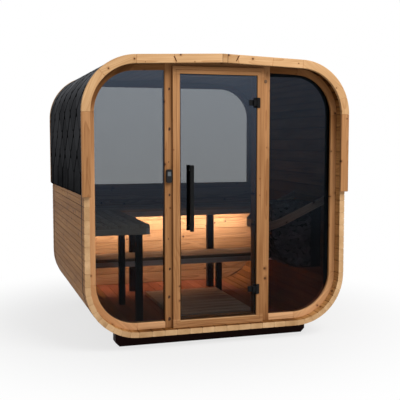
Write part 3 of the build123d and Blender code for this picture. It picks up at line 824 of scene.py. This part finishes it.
class SAUNA_OT_stage(bpy.types.Operator):
    """Places the camera, the studio lights, the world and the floor"""

    bl_idname = "sauna.stage"
    bl_label = "Stage"

    def execute(self, context):
        settings = context.scene.sauna_stage
        scene = context.scene
        lens = bpy.data.cameras.new("camera")
        camera = bpy.data.objects.new("camera", lens)
        scene.collection.objects.link(camera)
        lens.sensor_width = 36.0
        lens.lens = settings.lens
        camera.location = settings.camera_place
        camera.rotation_euler = (math.pi / 2 - settings.camera_tilt, 0.0, -settings.camera_turn)
        scene.camera = camera
        x, y, z = place = (2.4, -5.6, 6.6)
        lean = math.atan2(math.hypot(x, y), z - 1.0)
        add_lamp("key_light", place, (lean, 0.0, math.atan2(x, -y)), (4.0, 4.0), settings.key_power)
        self.add_world(scene, settings.ambient)
        self.add_floor(scene, settings.floor)
        scene.view_settings.view_transform = "Standard"
        return {"FINISHED"}

    def add_world(self, scene, ambient):
        """Even light from all sides, white to the camera, to glossy and to transmitted rays."""
        world = bpy.data.worlds.new("studio")
        world.use_nodes = True
        scene.world = world
        tree = world.node_tree
        back = tree.nodes["Background"]
        back.inputs["Color"].default_value = (1.0, 1.0, 1.0, 1.0)
        wire(tree, calc(tree, "MULTIPLY_ADD", plainly_seen(tree), 1.0 - ambient, ambient),
             back.inputs["Strength"])

    def add_floor(self, scene, tint):
        """A flat square floor that fades to the white background away from the cabin."""
        reach = 60.0
        mesh = bpy.data.meshes.new("studio_floor")
        corners = np.array([[-1, -1, 0], [1, -1, 0], [1, 1, 0], [-1, 1, 0]]) * reach
        mesh.from_pydata(corners, [], [[0, 1, 2, 3]])
        floor = bpy.data.objects.new("studio_floor", mesh)
        scene.collection.objects.link(floor)
        made, tree, shader, output = new_material("studio_floor")
        fill(tree, shader, {"Base Color": (*tint, 1.0), "Roughness": 0.85, "Specular IOR Level": 0.1})
        x, y, _ = parts(tree, object_place(tree))
        near, far, whiteness = 1.0, 2.6, 0.74
        fade = ramp(tree, hypotenuse(tree, x, y), near, far, whiteness, 1.0)
        white = tree.nodes.new("ShaderNodeEmission")
        mix_shaders(tree, calc(tree, "MULTIPLY", plainly_seen(tree), fade), shader, white, output)
        made.cycles.emission_sampling = "NONE"
        mesh.materials.append(made)


class SAUNA_OT_staves(bpy.types.Operator):
    """Makes the staves of the floor, walls, roof and corners, and the floor boards inside"""

    bl_idname = "sauna.staves"
    bl_label = "Staves"

    def execute(self, context):
        settings = context.scene.sauna_shell
        flat, corner = settings.flat_stave, settings.corner_stave
        stretches = (
            ("staves_floor", "shell_floor", -FLAT, FLAT, flat),
            ("staves_lower_right", "shell_lower_right_corner", AT_CORNER, AT_SIDE, corner),
            ("staves_right", "shell_right_side", AT_SIDE, AT_SHOULDER, flat),
            ("staves_upper_right", "shell_upper_right_corner", AT_SHOULDER, AT_ROOF, corner),
            ("staves_roof", "shell_roof", AT_ROOF, ROUND - AT_ROOF, flat),
            ("staves_upper_left", "shell_upper_left_corner", ROUND - AT_ROOF, ROUND - AT_SHOULDER, corner),
            ("staves_left", "shell_left_side", ROUND - AT_SHOULDER, ROUND - AT_SIDE, flat),
            ("staves_lower_left", "shell_lower_left_corner", ROUND - AT_SIDE, ROUND - AT_CORNER, corner),
        )
        for seed, (name, node, start, end, width) in enumerate(stretches, 11):
            count = max(2, round((end - start) / width))
            if name == "staves_roof":
                count += count % 2
            self.add_staves(name, node, np.linspace(start, end, count + 1), settings, seed)
        self.add_floor(settings.flat_stave)
        return {"FINISHED"}

    def add_floor(self, width):
        """Thin boards over the floor inside: straight boards from the glass wall to the rear wall."""
        count = max(2, round(2 * FLAT / width))
        level, sunk, proud, clear = high("shell_floor")[2], 0.004, 0.0006, 0.0005
        bottom = np.array([-FLAT, high("front_frame_left")[1] + clear, level - sunk])
        top = np.array([FLAT, low("rear_wall_boards")[1] - clear, level + proud])
        lows, highs = side_by_side(bottom, top, 0, count, 0.002)
        straight_boards("floor_boards", lows, highs, 1, wood("floor_wood"), 19, edge=0.0008,
                        light=np.tile([1.2, -1.4, 0.3], count)[:count])

    def add_staves(self, name, node, cuts, settings, seed):
        """Staves between cuts along the outline: an eight point section in length and depth, carried from
        front to back, with its end sections smaller by the end bevel. On the sides three more points make a
        notch in the middle of the outer face. Shade is painted on the inner face: darker between the end
        walls, and darkest just behind the glass on the right. Before and behind them it is painted darker
        near the floor and the roof, and paler on the sides."""
        bevel, gap, tip = settings.groove, settings.gap, settings.end_bevel
        wall, rear = low("front_frame_left")[1], high("rear_wall_boards")[1]
        hidden, faded = 0.01, 0.22
        ys = np.array([FRONT, FRONT + tip, wall, wall + hidden, wall + faded, rear - hidden, rear,
                       REAR - tip, REAR])
        whole = (ys > FRONT) & (ys < REAR)
        starts, ends = cuts[:-1, None] + gap, cuts[1:, None] - gap
        inset = np.where(whole, 0.0, tip) + 0 * starts
        at, depth = chamfered(starts + inset, ends - inset, inset, THICK - inset, bevel)
        if name in ("staves_right", "staves_left"):
            centre = (starts + ends + 0 * inset)[:, :, None] / 2
            across = centre + np.array([-1.0, 0.0, 1.0]) * bevel
            notch = depth[:, :, :1] + np.array([0.0, 1.0, 0.0]) * bevel
            at = np.concatenate([at[:, :, :1], across, at[:, :, 1:]], 2)
            depth = np.concatenate([depth[:, :, :1], notch, depth[:, :, 1:]], 2)
        y = ys[None, :, None] + 0 * at
        x, z = ring(at, depth)
        aside = at - (cuts[:-1] + cuts[1:])[:, None, None] / 2
        grain, tone = cut_from(y, aside, depth, seed)
        # Painted shade inside, and painted light and shade before and behind the end walls
        inside = HIGH_INSIDE_SHADE if "upper" in name or "roof" in name else LOW_INSIDE_SHADE
        near = SHADOW_BEHIND_GLASS if name.endswith("right") else inside
        shade = np.array([0.0, 0.0, 0.0, near, inside, inside, 0.0, 0.0, 0.0])[:, None]
        recess = np.array([0.0, 1.0, 1.0, 0.0, 0.0, 0.0, 1.0, 1.0, 0.0])[:, None]
        shade = shade + recess * np.interp(up_side(at), *RECESS_PAINTED_LIGHT)
        edge = np.isclose(np.abs(aside).max(2, keepdims=True), np.abs(aside))
        tone = tone + shade * (depth > THICK * 0.4) + GROOVE_TONE * (whole[None, :, None] & edge)
        put(name, np.stack([x, y, z], -1), wood("shell_wood"), (node,), grain, tone)


class SAUNA_OT_trim(bpy.types.Operator):
    """Makes the arched trim boards on both ends, with their butt joints"""

    bl_idname = "sauna.trim"
    bl_label = "Trim boards"

    def execute(self, context):
        edge = context.scene.sauna_shell.trim_edge
        lap = high("front_fascia")[0] - HALF
        depths = (-lap, 0.063 - lap)
        foot = AT_SIDE + low("front_fascia")[2] - KNEE
        half_turn = RADIUS * TURN / 2
        # Joints as a length along the outline and a slant. Those on the roof are given from the crown.
        roof = [(AT_CROWN - x / math.cos(SLANT), slant) for x, slant in (
            (0.388, 0.12), (0.117, -0.3), (0.040, 0.0), (0.0, 0.0), (-0.353, -0.25))]
        front = [(at, 0.0) for at in (foot, AT_SHOULDER, AT_SHOULDER + RADIUS * math.radians(19), AT_ROOF)]
        front += roof
        front += [(ROUND - at, 0.0) for at in (AT_ROOF, AT_SHOULDER + RADIUS * math.radians(46),
                                               AT_SHOULDER, foot)]
        rear = [foot, AT_SHOULDER, AT_SHOULDER + half_turn, AT_ROOF]
        rear = [(at, 0.0) for at in rear + [AT_CROWN] + [ROUND - at for at in rear[::-1]]]
        for name, node, joints, seed in (("trim_front", "front_fascia", front, 31),
                                         ("trim_rear", "rear_fascia", rear, 32)):
            at, slant = np.array(joints).T
            slants = np.stack([slant[:-1], slant[1:]], 1)
            ys = (low(node)[1], high(node)[1])
            ring_boards(name, (at[1:-2], at[2:-1]), depths, ys, edge, wood("arch_wood"), seed, 34, (node,),
                        slants[1:-1])
            if name == "trim_front":
                self.add_marks(ys[0])
            ring_boards(name + "_legs", (at[[0, -2]], at[[1, -1]]), depths, ys, edge, wood("trim_wood"),
                        seed + 5, 4)
        return {"FINISHED"}

    def add_marks(self, y):
        """Dark filler in the two open joints of the front arch: slanted slivers a little proud of it."""
        marks = np.array([[-0.3424, 2.0587, -0.3597, 2.0942], [0.1033, 2.0738, 0.1245, 2.1143]])
        half_width, proud = 0.0055 * np.array([[0.7], [1.0]]), 0.0006
        ends = marks.reshape(2, 2, 1, 2) + np.zeros((2, 2, 4, 2))
        x = ends[..., 0] + np.array([-1, 1, 1, -1]) * half_width
        out = y + np.array([1, 1, -1, -1]) * proud + 0 * x
        put("trim_marks", np.stack([x, out, ends[..., 1]], -1),
            gritty("mark", colour(92, 54, 30), rough=0.8, shine=0.03))


class SAUNA_OT_shingles(bpy.types.Operator):
    """Lays rows of hexagonal shingle tabs over the roof and the upper walls"""

    bl_idname = "sauna.shingles"
    bl_label = "Shingles"

    def execute(self, context):
        settings = context.scene.sauna_roof
        material = gritty("shingle", (*settings.tint, 1.0), grain=0.003, blotch=0.12, spread=0.45,
                          rough=0.8, depth=0.0008, strength=0.7, toned=True, shine=0.0)
        dress(gritty("shingle_skin", colour(7, 7, 8), grain=0.003, blotch=0.12, spread=0.3,
                     rough=0.9, shine=0.0), "shingle_cover")
        skin = high("shingle_cover")[0] - HALF
        eave = AT_CROWN - (AT_SIDE + low("shingle_cover")[2] - KNEE)
        self.add_tabs(settings, material, skin, eave)
        self.add_ridge(settings, material, skin)
        return {"FINISHED"}

    def add_tabs(self, settings, material, skin, eave):
        """Tabs as wedges on the skin. Down the slope a tab keeps its width, then tapers to its lower edge,
        and its top face rises in a straight line to that edge. Every other row is moved aside by half a tab.
        The lowest row isn't tapered, and hangs lower towards the rear. Light is painted on the rows: paler
        from the roof down the sides, as a painted sheen, and darker towards the eave. A tab's border is
        darker, a printed band with painted shadow, most of all on the palest rows."""
        pitch, row_height = settings.pitch, settings.exposure
        shift, overlap, tapered, tip, thin, sunk = 0.06, 1.9, 0.85, 0.11, 0.0008, 0.002
        rows = int(math.ceil(eave / row_height))
        columns = int(math.ceil((REAR - FRONT) / pitch)) + 2
        row, column, side = [a.ravel() for a in np.meshgrid(np.arange(rows), np.arange(columns),
                                                            np.array([-1.0, 1.0]), indexing="ij")]
        centre = FRONT + (column - 0.5 + 0.5 * (row % 2)) * pitch + shift
        backwards = np.clip((centre - FRONT) / (REAR - FRONT), 0, 1)
        lower = eave - row * row_height + np.where(row == 0, settings.overhang * backwards, 0.0)
        upper = np.maximum(lower - row_height * overlap, 0.002)
        taper = np.maximum(lower - row_height * tapered, upper + 0.0005)
        upper, taper, lower = upper[:, None], taper[:, None], lower[:, None]
        down = np.concatenate([upper + (taper - upper) * np.array([0.0, 0.17, 0.27, 0.5, 0.8, 1.0]),
                               taper + (lower - taper) * np.array([0.4, 0.86, 1.0])], 1)
        rise = thin + (settings.rise - thin) * (down - upper) / (lower - upper)
        narrow = np.clip((down - taper) / (lower - taper), 0, 1)
        wide = (pitch - settings.slit) / 2
        width = np.where(row[:, None] == 0, wide, wide + (pitch * tip - wide) * narrow)
        inner = np.maximum(width - settings.border, width * 0.6)
        edges = centre[:, None, None] + np.stack([-width, -width, -inner, inner, width, width], -1)
        y = np.clip(edges, FRONT + 0.001, REAR - 0.001)
        keep = ((y[..., -1] - y[..., 0]).max(1) > 0.01) & (lower - upper > 0.05)[:, 0]
        base = 0 * rise - sunk
        depth = -skin - np.stack([base, rise, rise, rise, rise, base], -1)
        x, z = ring(AT_CROWN + (side[:, None] * down)[:, :, None], depth)
        points = np.stack([x, y, z], -1)[keep]
        tone = np.random.default_rng(41).normal(0, 0.5, len(keep))[keep, None, None]
        # Painted light and shade down the slope
        fade = np.interp(down[keep, :, None], *SHINGLE_PAINTED_LIGHT)
        sides, head, foot = BORDER_PRINT_AND_SHADE
        border = sides * np.array([1.0, 1.0, 0.0, 0.0, 1.0, 1.0]) + np.zeros(points.shape[:3])
        border[:, :2] = head
        border[:, -1] = foot
        put("shingle_tabs", points, material,
            tone=fade + (tone + border) * (1 + TONE_STEP * fade))

    def add_ridge(self, settings, material, skin):
        """Ridge tabs over the crown, each lapping the next: a flat section bent over the crown."""
        count, overlap, reach, steps = 12, 1.2, 0.13, 9
        length = (REAR - FRONT) / count
        start = FRONT + np.arange(count) * length
        y = np.clip(np.stack([start, start + length * overlap], 1), FRONT + 0.001, REAR - 0.001)
        lift = np.array([settings.rise + 0.003, settings.rise * 0.55])
        across = np.linspace(-reach, reach, steps)
        level = np.repeat([1.0, 0.0], steps)
        depth = -skin - (lift[None, :, None] * level + 0 * y[:, :, None])
        x, z = ring(AT_CROWN + np.concatenate([across, across[::-1]]), depth)
        points = np.stack(np.broadcast_arrays(x, y[:, :, None], z), -1)
        # The ridge is paler by 3, as the rows are at the crown: painted light
        tone = 3.0 + np.random.default_rng(42).normal(0, 0.8, count)[:, None, None]
        put("shingle_ridge", points, material, tone=np.broadcast_to(tone, points.shape[:3]))


class SAUNA_OT_front(bpy.types.Operator):
    """Makes the frame and the posts of the front wall, and the details of its door frame"""

    bl_idname = "sauna.front"
    bl_label = "Front wall"

    def execute(self, context):
        edge = context.scene.sauna_shell.trim_edge
        ys = (low("front_frame_left")[1], high("front_frame_left")[1])
        gap = low("front_frame_right")[0]
        cuts = np.array([gap, AT_CORNER, AT_SIDE, AT_SHOULDER, AT_ROOF, AT_CROWN - gap / math.cos(SLANT)])
        for name, node, at, seed in (("frame_right", "front_frame_right", cuts, 51),
                                     ("frame_left", "front_frame_left", ROUND - cuts[::-1], 52)):
            ring_boards(name, (at[:-1], at[1:]), (THICK, THICK + FRAME_WIDTH), ys, edge, wood("trim_wood"),
                        seed, 30, (node,), painted_light=FRAME_PAINTED_LIGHT)
        for name, node, seed in (("post_left", "front_post_left", 53),
                                 ("post_right", "front_post_right", 54)):
            straight_boards(name, low(node), high(node), 2, wood("trim_wood"), seed,
                            edge=edge, face=0, stands_for=(node,), foot=FOOT_PAINTED_SHADE)
        dress(wood("rail_wood"), "front_head_rail", "door_head", "door_sill")
        dress(wood("jamb_wood"), "door_jamb_left", "door_jamb_right")
        self.add_gap_shadows()
        self.add_shade_line_and_highlight()
        self.add_seal()
        self.add_plug()
        self.add_spots()
        return {"FINISHED"}

    def add_gap_shadows(self):
        """A dark strip, painted shadow, in the gap between each post and the door frame."""
        side, front = high("front_post_left")[0], low("front_post_left")[1]
        bottom, top = low("door_jamb_left")[2], high("door_head")[2]
        wide, clear, out, into = 0.0028, 0.0003, front - 0.0015, front + 0.002
        lows = [[side - wide, out, bottom], [clear - side, out, bottom]]
        highs = [[side - clear, into, top], [wide - side, into, top]]
        # The strip's colour is painted shadow
        strips("frame_gap_shadows", lows, highs, 2, 0.0006,
               gritty("gap", colour(92, 56, 32), rough=0.9, shine=0.02))

    def add_shade_line_and_highlight(self):
        """A dark line round the door frame, painted shade along a step in its profile, and a painted
        highlight on the upper edge of its sill.
        """
        side, front = low("door_jamb_left")[:2]
        foot, head = low("door_sill")[2], high("door_head")[2]
        out, into, edge = front - 0.0005, front + 0.002, 0.0003
        face = low("door_glass")[2] - 0.005 - foot
        near, far = face * 0.46, face * 0.5
        lows = [[side + near, out, foot + near], [-side - far, out, foot + near],
                [side + near, out, foot + near], [side + near, out, head - far]]
        highs = [[side + far, into, head - near], [-side - near, into, head - near],
                 [-side - near, into, foot + far], [-side - near, into, head - near]]
        # Painted shade along the step of the frame
        strips("frame_shade_lines", lows, highs, 2, edge,
               gritty("line", colour(118, 76, 44), rough=0.8, shine=0.02))
        # Painted highlight on the sill's upper edge
        strips("sill_highlight", [side + face, out, foot + face - 0.0045], [-side - face, into, foot + face], 0,
               edge, gritty("edge", colour(214, 170, 124), rough=0.6, shine=0.05))

    def add_seal(self):
        """A black seal on the stops of the door frame, behind the edges of the glass leaf."""
        side, face, crown = high("door_glass")
        top, bottom = low("door_head")[2], high("door_sill")[2]
        y, wide, lap, tall = face + 0.0035, 0.0015, 0.003, 0.008
        edge, upper = side - lap, crown - lap
        lows = [[-edge - tall, y, bottom], [edge, y, bottom], [-edge, y, upper]]
        highs = [[-edge, y + wide, top], [edge + tall, y + wide, top], [edge, y + wide, upper + tall]]
        strips("door_seal", lows, highs, 2, 0.0004, gritty("seal", colour(9, 8, 8), rough=0.7, shine=0.05))

    def add_plug(self):
        """A round plug on the right post."""
        radius = 0.013
        turn = np.linspace(0, 2 * math.pi, 20, endpoint=False)
        buttons("post_plug", [[0.370, 1.942]], [[radius, radius]],
                np.array([0.013, 0.013, 0.011, 0.006, 0.0006]) / radius,
                [-0.001, 0.0015, 0.0025, 0.003, 0.003], turn, 1 + 0 * turn,
                gritty("plug", colour(112, 84, 60), rough=0.6))

    def add_spots(self):
        """Dark oval spots down the left post, with a wavy edge."""
        heights = np.array([1.873, 1.588, 1.352, 1.114, 0.794, 0.574, 0.368, 0.205])
        sizes = np.array([1.0, 1.2, 0.5, 1.0, 0.6, 1.0, 1.2, 1.4])
        aside = np.array([0.001, 0.002, -0.004, 0.001, -0.008, 0.002, -0.004, -0.002]) - 0.3722
        turn = np.linspace(0, 2 * math.pi, 16, endpoint=False)
        wobble = 1 + 0.18 * np.sin(2 * turn + 1.0) + 0.1 * np.cos(3 * turn)
        buttons("post_spots", np.stack([aside, heights], 1), sizes[:, None] * np.array([0.0065, 0.012]),
                [1.0, 0.97, 0.6, 0.06], [-0.001, 0.0003, 0.0006, 0.0007], turn, wobble,
                gritty("spot", colour(66, 38, 22), rough=0.7))


class SAUNA_OT_glass(bpy.types.Operator):
    """Gives the panes and the door their tinted glass"""

    bl_idname = "sauna.glass"
    bl_label = "Glass"

    def execute(self, context):
        settings = context.scene.sauna_glass
        dress(tinted_glass("front_glass", settings.tint, settings.painted_sky_sheen), "front_pane_left")
        # The painted reflection is cut out where the handle would be mirrored
        first, last = low("door_handle"), high("door_handle")
        aside, lift = -0.013, 0.004
        cut = [float(c) for c in (first[0] + aside, last[0] + aside, first[2] + lift, last[2] + lift)]
        dress(tinted_glass("door_glass", settings.tint, settings.painted_sky_sheen, cut), "door_glass")
        # The right pane's painted sheen is dimmed, and past an arc inside its frame the glass is painted
        # nearly black as painted shadow
        dimmed, shadow_rim_width = 0.32, 0.036
        rim = (FLAT, SHOULDER, side_at(SHOULDER) - FLAT - FRAME_WIDTH - shadow_rim_width)
        dress(tinted_glass("right_glass", settings.tint, [c * dimmed for c in settings.painted_sky_sheen], rim=rim),
              "front_pane_right")
        dress(tinted_glass("rear_glass", settings.tint), "rear_window_pane")
        return {"FINISHED"}


class SAUNA_OT_fittings(bpy.types.Operator):
    """Finishes the hinges, the handle and the control box, and adds the display of the box"""

    bl_idname = "sauna.fittings"
    bl_label = "Fittings"

    def execute(self, context):
        dress(black_paint(), "hinge_brackets", "door_hinge_clamps", "door_handle")
        dress(gritty("black_plastic", colour(16, 16, 18), grain=0.0008, blotch=0.05, spread=0.2,
                     rough=0.45, depth=0.0001), "control_box")
        bottom, top = low("control_box"), high("control_box")
        first, last = bottom + (top - bottom) * [0.2, 0.0, 0.5], bottom + (top - bottom) * [0.8, 0.0, 0.82]
        proud, sunk = 0.0015, 0.002
        strips("control_display", first - [0.0, proud, 0.0], last + [0.0, sunk, 0.0], 2, 0.0008,
               gritty("display", colour(92, 98, 102), blotch=0.03, spread=0.1, rough=0.25, depth=0.00005))
        return {"FINISHED"}


class SAUNA_OT_rear(bpy.types.Operator):
    """Makes the boards of the rear wall and finishes its rail and its window frame"""

    bl_idname = "sauna.rear"
    bl_label = "Rear wall"

    def execute(self, context):
        count, gap, edge = 9, 0.0005, 0.0035
        lows, highs = side_by_side(low("rear_wall_boards"), high("rear_wall_boards"), 2, count, gap)
        points = bars(lows, highs, 0, edge)
        side = side_at(points[..., 2])
        points[..., 0] = np.clip(points[..., 0], -side, side)
        local = points - points.mean(axis=(1, 2), keepdims=True)
        grain, tone = cut_from(local[..., 0], local[..., 2], local[..., 1], 61)
        put("rear_boards", points, wood("shell_wood"), ("rear_wall_boards",), grain, tone)
        dress(wood("rail_wood"), "rear_sill_rail", "rear_window_frame")
        return {"FINISHED"}


class SAUNA_OT_benches(bpy.types.Operator):
    """Makes the benches and their bearers, and finishes their legs and the floor grid"""

    bl_idname = "sauna.benches"
    bl_label = "Benches"

    def execute(self, context):
        settings = context.scene.sauna_inside
        self.add_bench("bench_rear", "rear_bench", 0, settings.rear_slats, settings, 71)
        self.add_bench("bench_left", "left_bench", 1, settings.left_slats, settings, 72)
        self.add_bench("bench_lower", "lower_bench", 0, settings.lower_slats, settings, 73, -4.5)
        dress(wood("shaded_leg_wood"), "upper_bench_legs", "lower_bench_legs")
        dress(wood("bench_wood_x"), "duckboard")
        return {"FINISHED"}

    def add_bench(self, name, node, axis, count, settings, seed, light=0.0):
        """Slats side by side along an axis, a paler front board under them and bearers across. light is
        how much paler or darker the slats are."""
        bottom, top = low(node), high(node)
        across, half_gap, thick = 1 - axis, settings.slat_gap / 2, settings.slat_height
        under = top[2] - thick
        board_low, board_high = bottom.copy(), top.copy()
        board_high[2] = under
        bearer_low, bearer_high = board_low.copy(), board_high.copy()
        if across == 1:
            board_high[1] = bearer_low[1] = bottom[1] + thick
        else:
            board_low[0] = bearer_high[0] = top[0] - thick
        margin = np.eye(3)[across] * half_gap
        lows, highs = side_by_side(bottom - margin, top + margin, across, count, half_gap)
        lows[:, 2] = under
        lows, highs = np.vstack([lows, board_low]), np.vstack([highs, board_high])
        if axis == 0:
            side = side_at(bottom[2])
            lows[:, 0], highs[:, 0] = np.maximum(lows[:, 0], -side), np.minimum(highs[:, 0], side)
        slat_edge, board_light, bearer_light, width, clear = 0.0015, 7.0, 2.5, 0.045, 0.001
        straight_boards(name, lows, highs, axis, wood("bench_wood"), seed, edge=slat_edge,
                        stands_for=(node,), light=np.append(np.full(count, light), board_light))
        at = np.linspace(bottom[axis] + clear, top[axis] - width - clear, 3)
        lows, highs = np.tile(bearer_low, (3, 1)), np.tile(bearer_high, (3, 1))
        lows[:, axis], highs[:, axis] = at, at + width
        straight_boards(name + "_bearers", lows, highs, across, wood("bench_wood"), seed + 10,
                        light=bearer_light)


class SAUNA_OT_heater(bpy.types.Operator):
    """Fills the heater with stones, makes its wooden guard and finishes its cage and box"""

    bl_idname = "sauna.heater"
    bl_label = "Heater"

    def execute(self, context):
        settings = context.scene.sauna_inside
        dress(black_paint(), "heater_box", "heater_cage")
        self.add_stones(settings.stone)
        self.add_guard()
        return {"FINISHED"}

    def add_stones(self, size):
        """Stones on a jittered grid that fills the heater's section, which is an arc in front of its foot. A
        stone is a sphere of two angles whose corners are squared off, stretched by three random lengths and
        turned at random. Stones deep inside are painted darker, as painted shade."""
        bottom, top = low("heater_stones"), high("heater_stones")
        pitch, jitter, knee_share, foot_share = size * 0.72, 0.28, 0.60, 0.72
        random = np.random.default_rng(81)
        counts = np.maximum(np.floor((top - bottom) / pitch).astype(int), 2)
        axes = [np.linspace(bottom[i] + pitch * 0.5, top[i] - pitch * 0.5, counts[i]) for i in range(3)]
        places = np.stack(np.meshgrid(*axes, indexing="ij"), -1).reshape(-1, 3)
        places += random.uniform(-jitter, jitter, places.shape) * pitch
        knee = bottom[2] + (top[2] - bottom[2]) * knee_share
        drop = np.clip((knee - places[:, 2]) / (knee - bottom[2]), 0, 1)
        front = bottom[0] + (top[0] - bottom[0]) * foot_share * (1 - np.sqrt(1 - drop ** 2))
        kept = places[:, 0] > front + pitch * 0.35
        places, front = places[kept], front[kept]
        count = len(places)
        tall, wide = np.meshgrid(np.linspace(0.02, math.pi - 0.02, 7),
                                 np.linspace(0, 2 * math.pi, 9, endpoint=False), indexing="ij")
        unit = np.stack([np.sin(tall) * np.cos(wide), np.sin(tall) * np.sin(wide), np.cos(tall)], -1)
        unit = np.sign(unit) * np.abs(unit) ** 0.62
        lumps = 1 + random.normal(0, 0.10, (count,) + unit.shape[:2] + (1,))
        lengths = random.uniform(0.75, 1.25, (count, 1, 1, 3)) * np.array([0.62, 0.5, 0.24]) * size
        turn = random.normal(0, 1, (count, 4))
        turn[:, 1:3] *= 0.35
        turn /= np.linalg.norm(turn, axis=1, keepdims=True)
        w, x, y, z = turn.T
        matrix = np.stack([
            1 - 2 * (y * y + z * z), 2 * (x * y - z * w), 2 * (x * z + y * w),
            2 * (x * y + z * w), 1 - 2 * (x * x + z * z), 2 * (y * z - x * w),
            2 * (x * z - y * w), 2 * (y * z + x * w), 1 - 2 * (x * x + y * y)], 1).reshape(-1, 3, 3)
        stones = np.einsum("nij,nabj->nabi", matrix, unit[None] * lumps * lengths)
        stones = np.clip(stones + places[:, None, None, :], bottom, top)
        tone = random.normal(0, 0.8, count)
        # Painted shade: the stones deep inside the pile are darker
        within = np.stack([places[:, 0] - front, places[:, 1] - bottom[1], top[2] - places[:, 2]]).min(0)
        tone = np.where(within > pitch * 1.15, -4.0, tone)
        stone = gritty("heater_stone", colour(104, 111, 120), grain=0.004, blotch=0.05, rough=0.8,
                       depth=0.001, strength=0.6, toned=True)
        put("stone_fill", stones, stone, ("heater_stones",),
            tone=np.broadcast_to(tone[:, None, None], stones.shape[:3]))

    def add_guard(self):
        """The guard's band: in plan two straight arms and a front joined by round corners, and in
        height a straight slope down from the wall. An eight point section is carried along it. Its
        normal turns by the length over the radius in the corners, and elsewhere its centre moves."""
        bottom, top = low("heater_guard"), high("heater_guard")
        radius, thick, tall, edge = 0.14, 0.018, 0.065, 0.002
        reach, width, drop = top - bottom - [0.0, 0.0, tall]
        arm, arc, face = reach - radius, radius * math.pi / 2, width - 2 * radius
        marks = np.cumsum([0, arm, arc, face, arc, arm])
        spans = zip(marks, marks[1:], (5, 12, 4, 12, 5))
        at = [np.linspace(start, end, steps, endpoint=False) for start, end, steps in spans]
        at = np.append(np.concatenate(at), marks[-1])
        none = 0 * at
        deep, up = chamfered(none, none + thick, none, none + tall, edge)
        a = at[:, None] + 0 * deep
        turned = (np.clip(a - marks[1], 0, arc) + np.clip(a - marks[3], 0, arc)) / radius
        x = top[0] - np.clip(a, 0, arm) + np.clip(a - marks[4], 0, arm) - (radius - deep) * np.sin(turned)
        y = bottom[1] + radius + np.clip(a - marks[2], 0, face) - (radius - deep) * np.cos(turned)
        z = top[2] - tall - drop * (top[0] - x) / reach + up
        grain, tone = cut_from(a[None], up[None], deep[None], 82)
        put("guard_band", np.stack([x, y, z], -1)[None], wood("bench_wood"),
            ("heater_guard",), grain, tone)


class SAUNA_OT_base(bpy.types.Operator):
    """Finishes the base beams and the steel straps"""

    bl_idname = "sauna.base"
    bl_label = "Base"

    def execute(self, context):
        dress(wood("beam_wood"), "base_beam_front", "base_beam_rear")
        dress(gritty("strap_steel", colour(40, 32, 27), grain=0.002, blotch=0.06, spread=0.3, rough=0.6,
                     depth=0.0001, shine=0.02), "shell_straps")
        return {"FINISHED"}


class SAUNA_OT_light(bpy.types.Operator):
    """Lights the strip under the rear bench"""

    bl_idname = "sauna.light"
    bl_label = "Bench light"

    def execute(self, context):
        settings = context.scene.sauna_inside
        made, tree, shader, _ = new_material("light_cover")
        glow = calc(tree, "MULTIPLY_ADD", noise(tree, object_place(tree), 40.0), 0.1, 0.95)
        tint = (*settings.lamp_colour, 1.0)
        colours = blend(tree, 1.0, tint, vector(tree, glow, glow, glow), "MULTIPLY")
        fill(tree, shader, {"Emission Color": colours, "Base Color": (0.8, 0.75, 0.65, 1.0),
                            "Emission Strength": 2.0})
        made.cycles.emission_sampling = "NONE"
        dress(made, "bench_light")
        bottom = low("bench_light")
        place = (-0.03, bottom[1] - 0.16, bottom[2] - 0.01)
        for name, tilt, share in (("bench_lamp_wall", 40.0, 0.8), ("bench_lamp_down", 8.0, 0.14)):
            add_lamp(name, place, (math.radians(tilt), 0.0, 0.0), (1.8, 0.02), settings.lamp_power * share,
                     settings.lamp_colour)
        return {"FINISHED"}


class SAUNA_PT_panel(bpy.types.Panel):
    """Lists the cabin's settings and steps"""

    bl_idname = "SAUNA_PT_panel"
    bl_label = "Sauna cabin"
    bl_space_type = "VIEW_3D"
    bl_region_type = "UI"
    bl_category = "Sauna"

    def draw(self, context):
        for key in SETTINGS:
            box = self.layout.box()
            settings = getattr(context.scene, key)
            for prop in settings.bl_rna.properties:
                if not prop.is_readonly and prop.identifier != "name":
                    box.prop(settings, prop.identifier)
        for step in STEPS:
            self.layout.operator(step.bl_idname)


SETTINGS = {
    "sauna_wood": SaunaWoodSettings,
    "sauna_shell": SaunaShellSettings,
    "sauna_roof": SaunaRoofSettings,
    "sauna_glass": SaunaGlassSettings,
    "sauna_inside": SaunaInsideSettings,
    "sauna_stage": SaunaStageSettings,
}
STEPS = (SAUNA_OT_stage, SAUNA_OT_staves, SAUNA_OT_trim, SAUNA_OT_shingles, SAUNA_OT_front,
         SAUNA_OT_glass, SAUNA_OT_fittings, SAUNA_OT_rear, SAUNA_OT_benches, SAUNA_OT_heater,
         SAUNA_OT_base, SAUNA_OT_light)


def register():
    """Registers the settings, the steps and the panel."""
    for key, group in SETTINGS.items():
        bpy.utils.register_class(group)
        setattr(bpy.types.Scene, key, bpy.props.PointerProperty(type=group))
    for made in STEPS + (SAUNA_PT_panel,):
        bpy.utils.register_class(made)


def unregister():
    """Takes them out again."""
    for made in (SAUNA_PT_panel,) + STEPS[::-1]:
        bpy.utils.unregister_class(made)
    for key, group in SETTINGS.items():
        delattr(bpy.types.Scene, key)
        bpy.utils.unregister_class(group)


def main():
    """Runs every step in order."""
    register()
    for step in STEPS:
        area, name = step.bl_idname.split(".")
        getattr(getattr(bpy.ops, area), name)()
    bpy.context.view_layer.update()


if __name__ == "__main__":
    main()
